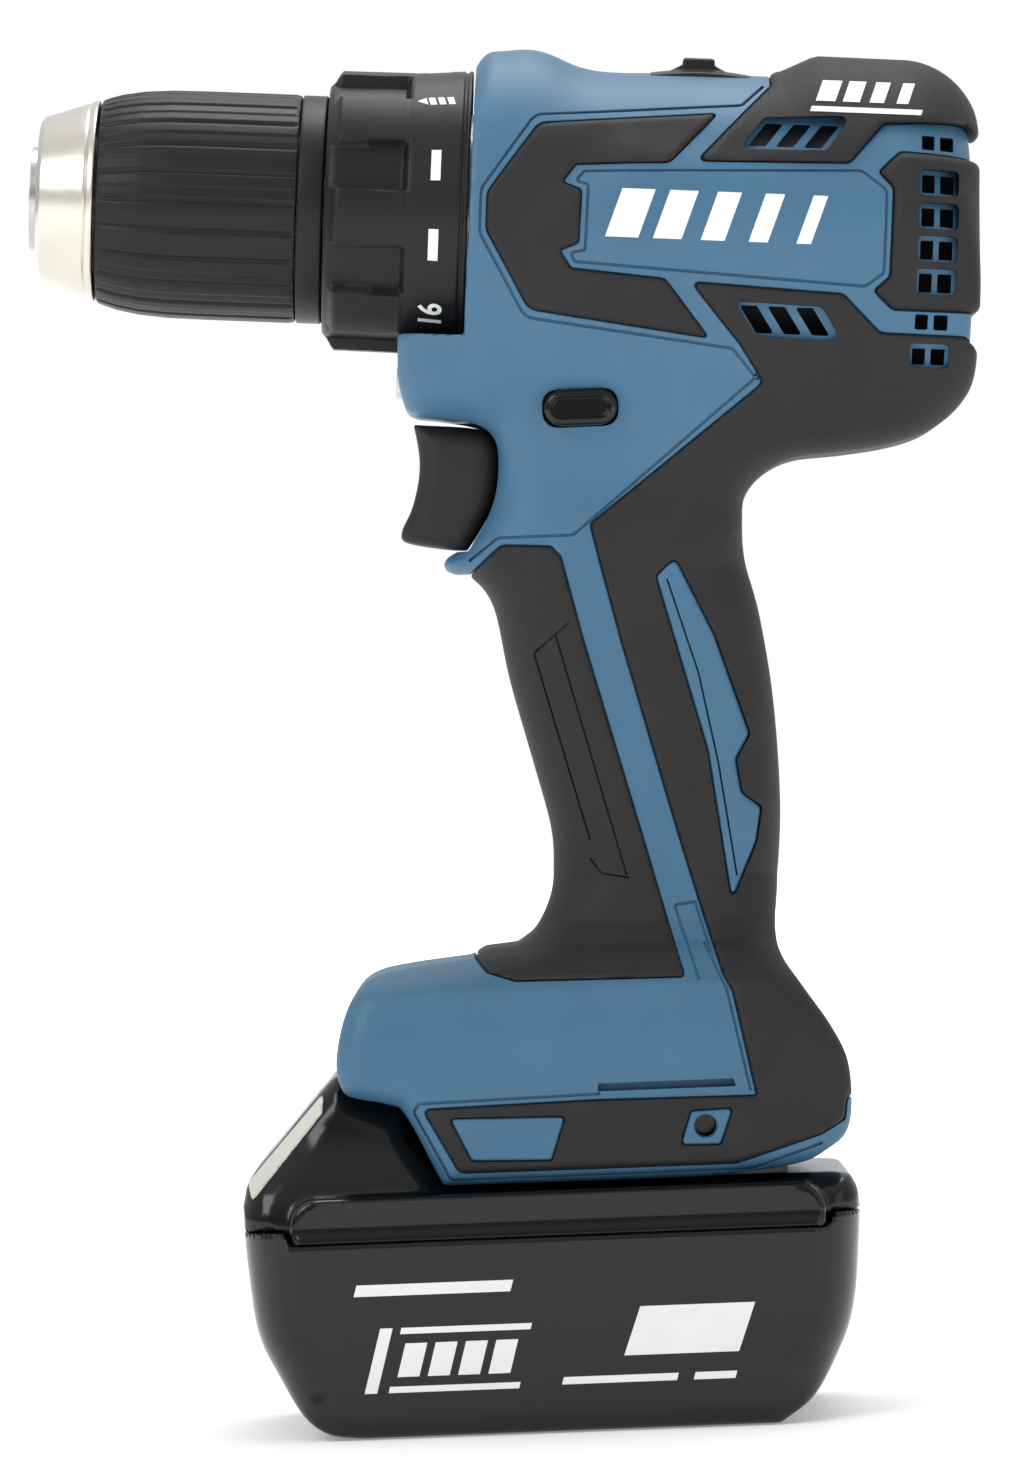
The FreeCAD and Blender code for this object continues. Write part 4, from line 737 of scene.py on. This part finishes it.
def build_overmoulds():
    seat = mesh_of(form_at(SEAT - 0.03), BODY_LOW, BODY_HIGH, 1.6, "seat_core")

    def pad(name, outline, edge, low, high, cutters, replaced, screws=(), slot="overmould", step=0.6,
            form=pad_form):
        obj = overmould(name, outline, edge, step, low, high, cutters, form)
        boolean(obj, "DIFFERENCE", seat, keep=True)
        both_sides(obj, slot, (f"left_{name}", f"right_{name}"), replaced, screws)

    pad("front_pad", FRONT_PAD, 0.9, (-8, -34, 206), (46, -12, 260), [], "{}_front_pad")
    pad("guard", GUARD, 1.1, (32, -34, 236), (99, 4.5, 270), [prism("upper_vent", rounded(UPPER_VENT, 0), OUTSIDE, 0)],
        "{}_rear_guard", step=0.7)
    windows = [window(f"rear_window_{number}", row) for number, row in enumerate(REAR_ROWS)]
    pad("rear_pad", REAR_PAD, 1.6, (66, -34, 208), (98, 4.5, 248), windows, "{}_rear_guard")
    cutters = [prism("lower_vent", rounded(LOWER_VENT, 0), OUTSIDE, 0), window("low_window", CHANNEL_ROWS[2]),
               side_cut("insert_way", INSERT, -2), side_cut("badge_way", BADGE, -20),
               side_cut("hook_way", HOOK_PLATE, -20), *straight_ways()]
    pad("grip", GRIP, 0.9, (-27, -35, 48), (98, 4.5, 224), cutters, "{}_grip", SCREW_SPOTS, step=0.7)
    low, high = (-20, -30, 84), (30, 4.5, 173)
    lines = engraved("panel", PANEL_LINES, 0.3, 0.28, pad_form, low, high)
    pad("finger_grip", FINGER_PAD, 0.9, low, high, lines, "{}_grip", SCREW_SPOTS)

    def plate_form(x, y, z):
        return pad_form(x, y, z) + PLATE_INSET

    def plate(name, outline, edge, low, high, cutters):
        pad(name, outline, edge, low, high, cutters, "{}_grip", (), "housing_shell", 0.5, plate_form)

    low, high = (22, -22, 96), (47, -4, 170)
    plate("handle_insert", INSERT, 0.7, low, high,
          engraved("insert_line", [INSERT_LINE], 0.35, 0.5, plate_form, low, high))
    plate("badge_plate", BADGE, 0.6, (-22, -35, 49), (7, -28, 64), [])
    plate("hook_plate", HOOK_PLATE, 0.6, (22, -35, 51), (39, -28, 64),
          [prism("hook_screw_way", disc(HOOK_HOLE, 2.3), OUTSIDE, -20)])
    drop(seat)


def build_housing():
    shell = build_shell()
    core = mesh_of(form_at(WALL / 2), BODY_LOW, BODY_HIGH, 1.8, "post_core")
    for number, spot in enumerate(SCREW_SPOTS):
        post = prism(f"post_{number}", disc(spot, 4.2), -40, 2)
        boolean(post, "INTERSECT", core, keep=True)
        boolean(shell, "UNION", post)
    drop(core)
    boolean(shell, "DIFFERENCE", prism("hook_screw", disc(HOOK_HOLE, 2.1), OUTSIDE, -24))
    both_sides(shell, "housing_shell", ("left_shell", "right_shell"), "{}_housing", SCREW_SPOTS)


build_housing()
build_overmoulds()


# ------------------------------------------------------------------ chuck
FLUTES, FLUTE_PHASE = 24, 0.38


def build_chuck():
    def flute(x, radius, angle):
        """Narrow grooves along the grip that fade out at its ends."""
        phase = (angle * FLUTES / (2 * math.pi) + FLUTE_PHASE) % 1
        across = np.abs(phase - 0.5) * 2 * math.pi * radius / FLUTES
        body = smooth_step(-71.9, -70.6, x) * smooth_step(-33.0, -33.6, x) * (radius > 19)
        step = 0.22 * (phase - 0.5)
        return body * (step - 0.5 * smooth_step(0.6, 0.2, across))

    grip = [(-72, 19.2), (-71.6, 19.9), (-68, 21.0), (-63.5, 21.8), (-58, 22.2), (-50, 22.3), (-34, 22.3),
            (-32.95, 22.1), (-32.9, 21.4), (-32.9, 19.7), (-72, 19.15)]
    sleeve = turned("chuck_sleeve_grip", dense(rounded(grip, 0.3, 2), 1.1), FLUTES * 20, flute)
    finish(sleeve, "black_plastic", "chuck_sleeve", ["chuck_sleeve"], 60)
    ring = turned("chuck_rear_band", rounded([(-32.7, 17.3), (-32.7, 22.0), (-32.4, 22.3), (-28.0, 22.3),
                                              (-27.7, 22.0), (-27.7, 17.3)], 0.15, 2), 192)
    finish(ring, "black_plastic", "spindle", ["chuck_rear_ring"])
    nose = [(-83.7, 10.4), (-83.7, 15.2), (-82.9, 16.2), (-80.4, 17.0), (-76, 18.55), (-74.3, 19.1), (-74.0, 18.9),
            (-73.7, 19.4), (-72.4, 19.9), (-72.3, 14.3), (-83.2, 14.3), (-83.2, 10.4)]
    finish(turned("chuck_nose_collar", rounded(nose, 0.35, 3), 192), "nose_metal", "spindle", ["chuck_nose"], 50)


# ------------------------------------------------------------------ torque ring
LUG_START, LUG_PITCH = 6.3, 45
DIAL_BAND, DIAL_CONE = (-6.0, 27.72), 0.085
MARK_START, MARK_STEP = 138.4, 32.3
PRINT_DEPTH = 0.12
MARKS = ("16", "-", "-", "drill", "1", "4", "", "8", "", "12", "")


def build_torque_ring():
    def lug(x, radius, angle):
        turn = (np.degrees(angle) - LUG_START + LUG_PITCH / 2) % LUG_PITCH - LUG_PITCH / 2
        half = 12.2 - 0.6 * smooth_step(-24.5, -12, x)
        side = smooth_step(half + 0.9, half - 0.4, np.abs(turn))
        along = smooth_step(-26.6, -25.0, x) * (x < -11)
        base = np.interp(x, (-12.4, -11.4), (25.3, 27.2))
        return (radius > 24) * along * side * np.maximum(27.45 - base, 0)

    outline = [(-27.4, 15.1), (-27.4, 24.2), (-26.6, 25.0), (-25.6, 25.2), (-12.4, 25.3), (-11.4, 27.2),
               (-10.9, 27.4), (-1.3, 28.15), (-0.9, 27.8), (-0.5, 27.8), (-0.3, 28.2), (0.3, 28.2),
               (0.4, 27.9), (0.4, 20.9), (-24, 20.9), (-25, 15.1)]
    dial = turned("torque_dial", dense(rounded(outline, 0.2, 2), 0.6), 540, lug)
    finish(dial, "black_plastic", "torque_ring", ["torque_ring"], 60)
    marks = [shape for number, mark in enumerate(MARKS)
             for shape in dial_mark(number, mark, MARK_START - MARK_STEP * number)]
    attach(painted(join(marks, "dial_marks"), PRINT), "torque_ring")


def join(objects, name):
    """Several meshes as one piece."""
    points, faces = [], []
    for obj in objects:
        start = len(points)
        points += [tuple(v.co / MM) for v in obj.data.vertices]
        faces += [[start + i for i in face.vertices] for face in obj.data.polygons]
        drop(obj)
    return new_mesh(name, points, faces)


def flat_shape(name, outlines):
    """Thin plates in a local (u, v) plane."""
    return [prism(f"{name}_{number}", outline, 0, PRINT_DEPTH) for number, outline in enumerate(outlines)]


def strip(name, length, width, pieces):
    """A thin bar in a local (u, v) plane, cut across so that it can bend."""
    points = [(length * (k / pieces - 0.5), height, v * width)
              for k in range(pieces + 1) for height in (0, PRINT_DEPTH) for v in (-0.5, 0.5)]
    faces = [(0, 1, 3, 2), (4 * pieces, 4 * pieces + 1, 4 * pieces + 3, 4 * pieces + 2)]
    for k in range(pieces):
        here, there = 4 * k, 4 * k + 4
        for a, b in ((0, 1), (1, 3), (3, 2), (2, 0)):
            faces.append((here + a, here + b, there + b, there + a))
    return face_outwards(new_mesh(name, points, faces))


def wrapped(obj, place):
    """Move a thin plate's points onto a curved surface: place(u, v, height) gives each new point."""
    for vertex in obj.data.vertices:
        u, height, v = vertex.co / MM
        vertex.co = Vector(place(u, v, height)) * MM
    return face_outwards(obj)


def lettering(text, height):
    """A number as a flat mesh, its middle at the origin, cut fine enough to bend."""
    curve = bpy.data.curves.new("numeral", "FONT")
    curve.body, curve.size = text, height * 1.38 * MM
    curve.align_x, curve.align_y = "CENTER", "CENTER"
    curve.extrude, curve.resolution_u, curve.offset = PRINT_DEPTH / 2 * MM, 4, 0.11 * MM
    holder = bpy.data.objects.new("numeral", curve)
    bpy.context.scene.collection.objects.link(holder)
    mesh = bpy.data.meshes.new_from_object(holder.evaluated_get(bpy.context.evaluated_depsgraph_get()))
    bpy.data.objects.remove(holder)
    obj = bpy.data.objects.new("numeral_mesh", mesh)
    bpy.context.scene.collection.objects.link(obj)
    for vertex in mesh.vertices:
        x, y, z = vertex.co
        vertex.co = (x, z + PRINT_DEPTH / 2 * MM, y)
    return obj


def dial_mark(number, mark, turn):
    """One printed mark of the dial, wrapped on its rear band at an angle from the top."""
    centre, reach = DIAL_BAND

    def place(u, v, height):
        along = centre - v
        radius = reach + DIAL_CONE * (along - centre) + height
        angle = math.radians(turn) - u / reach
        x, z = from_barrel(along, radius * math.cos(angle))
        return x, -radius * math.sin(angle), z

    if mark == "-":
        shapes = [strip(f"dash_{number}", 6.2, 1.9, 8)]
    elif mark == "drill":
        shapes = flat_shape("bit", [[(-1.2, c), (1.0, c + 0.5), (1.0, c + 1.75), (-1.2, c + 1.25)]
                                    for c in (-3.3, -1.5, 0.3)] + [[(-1.1, 2.0), (1.0, 2.5), (0, 4.2)]])
    elif mark:
        shapes = [lettering(mark, 4.6)]
    else:
        shapes = flat_shape(f"dot_{number}", [disc((0, 0), 0.7, 16)])
    return [wrapped(shape, place) for shape in shapes]


# ------------------------------------------------------------------ trigger, button, selector
def build_controls():
    edge = smooth_path([(-20.9, 195.2, 1), (-8.6, 193.9), (-5.0, 191.4), (-4.4, 186.5), (-6.0, 179.2),
                        (-10.4, 171.8), (-12.8, 170.5), (-22.6, 172.2), (-24, 174.2), (-21.9, 178.6),
                        (-20.5, 183.4), (-20, 187.4), (-20.2, 191)])
    gap = SideMap((-30, 165), (0, 200), 0.25, lambda x, z: outline_distance(x, z, edge))
    trigger = mesh_of(lambda x, y, z: rounded_meet(gap(x, z), np.abs(y) - TRIGGER_HALF, 4.2),
                      (-26, -11, 169), (-2, 11, 197), 0.5, "trigger_lever")
    boolean(trigger, "UNION", block("stem", -8, 8, -6, 6, 178, 188))
    finish(trigger, "overmould", "trigger", ["trigger"], 50)

    x0, z0 = BUTTON[0] - 0.15, BUTTON[1] + 0.6

    def oval(x, z, radius):
        return np.sqrt(np.maximum(np.abs(x - x0) - 3.6, 0)**2 + (z - z0)**2) - radius

    def button_form(x, y, z):
        bar_ = rounded_meet(oval(x, z, 3.45), np.abs(y) - BUTTON_HALF, 1.2)
        dish = np.abs(y) - BUTTON_DISH - 3 * np.maximum(oval(x, z, 1.9), 0)
        flange = np.maximum(oval(x, z, 5.2), np.abs(np.abs(y) - 12.2) - 0.8)
        return np.minimum(np.maximum(bar_, dish), flange)

    button = mesh_of(button_form, (1.5, -26, 189.5), (22, 26, 202.5), 0.35, "direction_rocker")
    finish(button, "gloss_black", "direction_button", ["direction_button"], 40)

    def plate_form(x, y, z):
        xb, zb = to_barrel(x, z)
        top = np.sqrt(y * y + zb * zb)
        inside = np.maximum(np.abs(xb - SELECTOR_X) - 10.3, np.abs(y) - 8.0)
        dome = top - (30.2 - 0.0085 * (xb - SELECTOR_X)**2)
        plate = np.maximum(rounded_meet(dome, inside, 0.6), 27.95 - top)
        foot = np.maximum(np.abs(xb - SELECTOR_X + 0.6) - 3.1 - 1.8 * smooth_step(31.4, 30.0, top), np.abs(y) - 5.6)
        nub = np.maximum(rounded_meet(top - 32.5, foot, 0.6), 27.95 - top)
        return smin(plate, nub, 0.8)

    selector = mesh_of(plate_form, (20, -10, 258), (52, 10, 272), 0.4, "selector_slide")
    foot = prism("selector_foot", bar((41, 26.2), (46.6, 26.2), (46.6, 28.8), (41, 28.8)), -2, 2)
    boolean(selector, "UNION", foot)
    finish(selector, "black_plastic", "speed_selector", ["speed_selector"], 40)


# ------------------------------------------------------------------ battery
PACK_HALF = 37.3
SEAM_HEIGHT, SEAM_GAP = 39.4, 0.22
PACK_SIDE = [(-38, 0.3, 1), (42.5, 0.3, 1), (49.6, 5.4), (55.4, 14.6), (58, 23), (59.2, 34), (59.6, 41.5),
             (58.6, 45.6), (55.6, 47.3), (40, 47.4, 1), (-24, 47.4, 1), (-56, 47.4, 1), (-59.2, 44), (-59.3, 40),
             (-58.6, 30), (-57.2, 20), (-53.6, 12), (-48.8, 4.6), (-44, 1.2)]
HUMP_SIDE = [(-59.2, 38, 1), (-58.9, 45), (-57.9, 50), (-51, 58), (-43.7, 66.2), (-40.6, 69.2), (-38.9, 68.6),
             (-36.4, 65.3), (-30.6, 63.2), (-27.4, 61), (-20.6, 47.4, 1), (-20, 38, 1)]
FRONT_STRIP = [(-43.0, 66.2), (-43.4, 62.2), (-57.4, 46.0), (-58.2, 49.5)]
LATCH_SIDE = [(-50.4, 57.2), (-50.4, 58.6), (-43.9, 66.0), (-40.8, 67.9), (-40.8, 60.2), (-47.3, 60.2),
              (-48.3, 57.2)]
LATCH_HALF = 8.8


def build_battery():
    side, hump = smooth_path(PACK_SIDE), smooth_path(HUMP_SIDE)
    side_map = SideMap((-66, -5), (66, 75), 0.4, lambda x, z: outline_distance(x, z, side))
    hump_map = SideMap((-66, -5), (66, 75), 0.4, lambda x, z: outline_distance(x, z, hump))

    def pack(x, y, z):
        radius = 2.6 + 12.4 * smooth_step(0, 14, z)
        over = 1.1 * smooth_step(0, 14, z)
        return np.maximum(rounded_meet(side_map(x, z) + 0 * y, np.abs(y) - PACK_HALF - over, radius),
                          np.abs(y) - PACK_HALF)

    def waist(x, y, z):
        """The upper part behind the seam: a full-width band on each side and the hump between."""
        lift = smooth_step(44, 60, z)
        half = 29.5 - 5.5 * lift
        nose = rounded_meet(hump_map(x, z) + 0 * y, np.abs(y) - half, 6.5)
        deck = np.maximum(rounded_meet(side_map(x, z) + 0 * y, np.abs(y) - 30.5, 7), z - 47.4)
        band_x = rounded_meet(np.abs(x - 1.2) - 51.5, z - 46.4, 5.5)
        band = rounded_meet(np.maximum(band_x, side_map(x, z)) + 0 * y, np.abs(y) - PACK_HALF + 0.3, 2.2)
        return smin(smin(deck, nose, 2.5), band, 0.8)

    def seam(x):
        """The seam steps up at both ends of the case."""
        return SEAM_HEIGHT - 1.9 + 2.6 * (smooth_step(-49.6, -51.6, x) + smooth_step(52.6, 54.6, x))

    def lower(x, y, z):
        return np.maximum(pack(x, y, z), z - seam(x))

    def upper(x, y, z):
        return np.maximum(np.maximum(waist(x, y, z), seam(x) + SEAM_GAP - z),
                          pack(x, y, np.minimum(z, 40)) - 0.02)

    case = mesh_of(lower, (-62, -40, -2), (62, 40, 42), 0.8, "battery_case")
    finish(case, "gloss_black", "battery", ["battery_lower_case"], 14)
    top = mesh_of(upper, (-62, -40, 35), (62, 40, 71), 0.8, "battery_cover")
    boolean(top, "UNION", block("tongue", -14, 46, -23, 23, 46, 60))
    for y0, y1 in ((-25, -20.6), (20.6, 25)):
        boolean(top, "DIFFERENCE", block("groove", -15, 47, y0, y1, 50.6, 54.9))
    for middle in (-9, 9):
        boolean(top, "DIFFERENCE", block("slot", 17, 47, middle - 1.4, middle + 1.4, 50.2, 61))
    finish(top, "gloss_black", "battery", ["battery_upper_case"], 40)

    # The pale front strip is a painted highlight: a thin layer on the sloped front of the hump, lighter than the gloss
    # black around it.
    edge, button = rounded(FRONT_STRIP, 0.5), rounded(LATCH_SIDE, 0.8)
    strip_map = SideMap((-66, 40), (-36, 72), 0.2, lambda x, z: outline_distance(x, z, edge))

    def strip_form(x, y, z):
        skin = waist(x, y, z)
        return np.maximum(np.maximum(strip_map(x, z) + 0 * y, skin - 0.35), -0.5 - skin)

    highlight_strip = painted(mesh_of(strip_form, (-62, -30, 43), (-38, 30, 70), 0.4, "painted_front_highlight"), HIGHLIGHT_PAINT)
    highlight_strip.data.shade_smooth()
    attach(highlight_strip, "battery")

    latch_map = SideMap((-56, 52), (-36, 72), 0.2, lambda x, z: outline_distance(x, z, button))
    latch = mesh_of(lambda x, y, z: rounded_meet(latch_map(x, z) + 0 * y, np.abs(y) - LATCH_HALF, 1.0),
                    (-53, -10, 55), (-38.5, 10, 70), 0.35, "release_button")
    finish(latch, "black_plastic", "battery_latch", ["battery_latch"], 40)


# ------------------------------------------------------------------ screws and plain printed marks
def build_screws():
    """The screws' heads, each with a six-pointed recess."""
    star = [(radius * math.cos(math.radians(turn)), radius * math.sin(math.radians(turn)))
            for turn, radius in ((30 * k, 1.5 if k % 2 else 1.05) for k in range(12))]
    parts = []
    for number, (x, z) in enumerate(SCREW_SPOTS):
        head = prism(f"head_{number}", disc((x, z), 2.9), HEAD_SEAT, HEAD_SEAT + 2.4)
        boolean(head, "DIFFERENCE", prism("recess", rounded([(x + a, z + b) for a, b in star], 0.3), 12, 15))
        parts += [head, prism(f"shank_{number}", disc((x, z), 1.45), -10, HEAD_SEAT)]
    finish(join(parts, "case_screws"), "dark_steel", "housing", ["housing_screws"])


def plates(name, outlines, y0, y1, tilted=False):
    """Closed outlines pushed through from y0 to y1, as one mesh."""
    return join([prism(f"{name}_{number}", outline, y0, y1, tilted) for number, outline in enumerate(outlines)],
                name)


def slanted(x, z, width, height, lean=0.32):
    """A bar that leans forward."""
    return [(x, z), (x + width, z), (x + width + lean * height, z + height), (x + lean * height, z + height)]


def laid_print(name, outlines, form, low, high):
    """White marks that follow a curved side of the housing, on both sides of the tool."""
    def skin(depth, more):
        """The form between the corners of a closed box."""
        middle = [(a + b) / 2 for a, b in zip(low, high)]
        reach = [(b - a) / 2 - 1 + more for a, b in zip(low, high)]

        def field(x, y, z):
            sides = [np.abs(v - m) - r + 0 * (x + y + z) for v, m, r in zip((x, y, z), middle, reach)]
            return np.maximum.reduce([form(x, y, z) + depth + 0 * (x + y + z), *sides])

        return mesh_of(field, low, high, 0.6, "skin")

    outer, inner = skin(-0.12, 0), skin(0.4, 0.6)
    near = plates("left_" + name, outlines, OUTSIDE, -2, True)
    boolean(near, "INTERSECT", outer)
    boolean(near, "DIFFERENCE", inner)
    for obj in (near, mirrored(near, "right_" + name)):
        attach(painted(obj, PRINT), "housing")


def build_marks():
    """Plain bars and cells where a maker would print: no letters."""
    laid_print("side_bars", [slanted(27 + 9.2 * k, -5, 6.4 - 0.9 * k, 9.4) for k in range(5)],
               blue_form, (8, -34, 215), (76, -10, 255))
    laid_print("guard_bars", [slanted(66.8 + 5.2 * k, 23.4, 3.8 - 0.5 * k, 4.4) for k in range(4)]
               + [slanted(65.7, 21.2, 21.5, 1.1)], pad_form, (50, -36, 240), (96, -4, 272))
    cells = [slanted(-37, 9, 2.4, 12.4, 0.28), slanted(-32.4, 9, 25, 1.2, 0.28),
             slanted(-29.8, 20.2, 25, 1.2, 0.28)]
    cells += [slanted(-30.6 + 5.8 * k, 12, 4.2, 6.4, 0.28) for k in range(4)]
    cells += [slanted(12.9, 14.5, 22, 9.3, 0.37), slanted(0.8, 9.4, 22, 1.4, 0.3), slanted(26, 9.4, 8, 1.4, 0.3),
              slanted(-38.4, 27.6, 30, 2.2, 0.3)]
    inside, outside = PACK_HALF - 0.02, PACK_HALF - 0.02 + PRINT_DEPTH
    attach(painted(plates("pack_marks_left", cells, -outside, -inside), PRINT), "battery")
    turned_cells = [[(-x, z) for x, z in mark] for mark in cells]
    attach(painted(plates("pack_marks_right", turned_cells, inside, outside), PRINT), "battery")


def build_vent_shade_rib():
    """A black rib across the tail, sized to the vent slots: painted shade seen through them."""
    shade_rib = prism("tail_shade_rib", rounded([(88.2, -30), (88.2, 19), (95.6, 19), (95.6, -30)], 1), -1.2, 1.2, True)
    finish(shade_rib, "black_plastic", "housing")


build_vent_shade_rib()
build_chuck()
build_torque_ring()
build_controls()
build_battery()
build_screws()
build_marks()


# ------------------------------------------------------------------ camera, light and floor
CAMERA_PLACE, CAMERA_LENS, CAMERA_ROLL = (-4.0, -1500, 133.5), 186.8, 2.2
FLOOR_REACH = 6000
BRIGHT_WAY, STUDIO_LEVELS = (0, 0.5, 0.87), (0.16, 0.95)
# each lamp: name, watts, and its size and place in metres
LAMPS = (("key", 7.8, 0.7, (-0.75, -1.0, 0.95)), ("fill", 2.4, 1.0, (1.1, -1.1, 0.45)),
         ("top", 6, 0.6, (0.1, 0.25, 1.2)))


def build_world():
    """A studio that is white to the camera and lights the tool softly, most from above and behind."""
    world = bpy.data.worlds.new("studio")
    bpy.context.scene.world = world
    world.use_nodes = True
    tree = world.node_tree
    aim = node_in(tree, "VectorMath")
    aim.operation = "DOT_PRODUCT"
    aim.inputs[1].default_value = BRIGHT_WAY
    tree.links.new(node_in(tree, "TexCoord").outputs["Generated"], aim.inputs[0])
    soft = node_in(tree, "Background", Color=(0.95, 0.98, 1, 1),
                   Strength=ranged(tree, aim.outputs["Value"], *STUDIO_LEVELS, -0.6, 0.9))
    seen = node_in(tree, "Background", Color=(1, 1, 1, 1))
    mix = node_in(tree, "MixShader", Fac=node_in(tree, "LightPath").outputs["Is Camera Ray"])
    tree.links.new(soft.outputs["Background"], mix.inputs[1])
    tree.links.new(seen.outputs["Background"], mix.inputs[2])
    tree.links.new(mix.outputs["Shader"], tree.nodes["World Output"].inputs["Surface"])


def build_floor():
    """A pale floor that fades into the white behind it."""
    floor = new_mesh("floor", [(sx * FLOOR_REACH, sy * FLOOR_REACH, 0)
                               for sx, sy in ((-1, -1), (1, -1), (1, 1), (-1, 1))], [(0, 1, 2, 3)])
    paint = material("pale_floor", (0.88, 0.88, 0.88), 0.8, 0.01, 0.1, 30, 0.5)
    tree = paint.node_tree
    shader = tree.nodes["Principled BSDF"]
    away = node_in(tree, "VectorMath", Vector=node_in(tree, "NewGeometry").outputs["Position"])
    away.operation = "LENGTH"
    shader.inputs["Emission Color"].default_value = (1, 1, 1, 1)
    tree.links.new(ranged(tree, away.outputs["Value"], 0.24, 1.0, 0.2, 1.6), shader.inputs["Emission Strength"])
    floor.data.materials.append(paint)


def build_stage():
    build_floor()
    build_world()
    bpy.context.scene.view_settings.view_transform = "Standard"

    def lamp(name, power, size, place, target):
        light = bpy.data.lights.new(name, "AREA")
        light.energy, light.size = power, size
        holder = bpy.data.objects.new(name, light)
        bpy.context.scene.collection.objects.link(holder)
        holder.location = Vector(place)
        holder.rotation_euler = (Vector(target) - Vector(place)).to_track_quat("-Z", "Y").to_euler()

    for name, power, size, place in LAMPS:
        lamp(name, power, size, place, (0, 0, 0.14))

    camera = bpy.data.cameras.new("camera")
    holder = bpy.data.objects.new("camera", camera)
    bpy.context.scene.collection.objects.link(holder)
    camera.lens, camera.sensor_width = CAMERA_LENS, 36
    holder.location = Vector(CAMERA_PLACE) * MM
    holder.rotation_euler = (Matrix.Rotation(math.pi / 2, 3, "X")
                             @ Matrix.Rotation(math.radians(-CAMERA_ROLL), 3, "Z")).to_euler()
    camera.clip_start, camera.clip_end = 0.05, 50
    bpy.context.scene.camera = holder


build_stage()


# ------------------------------------------------------------------ finish of the CAD parts that stay
for entry in frame["record"]["subparts"]:
    node = frame["nodes"][entry["node"]]
    node.data.materials.clear()
    node.data.materials.append(FINISHES[entry["material_slot"]])
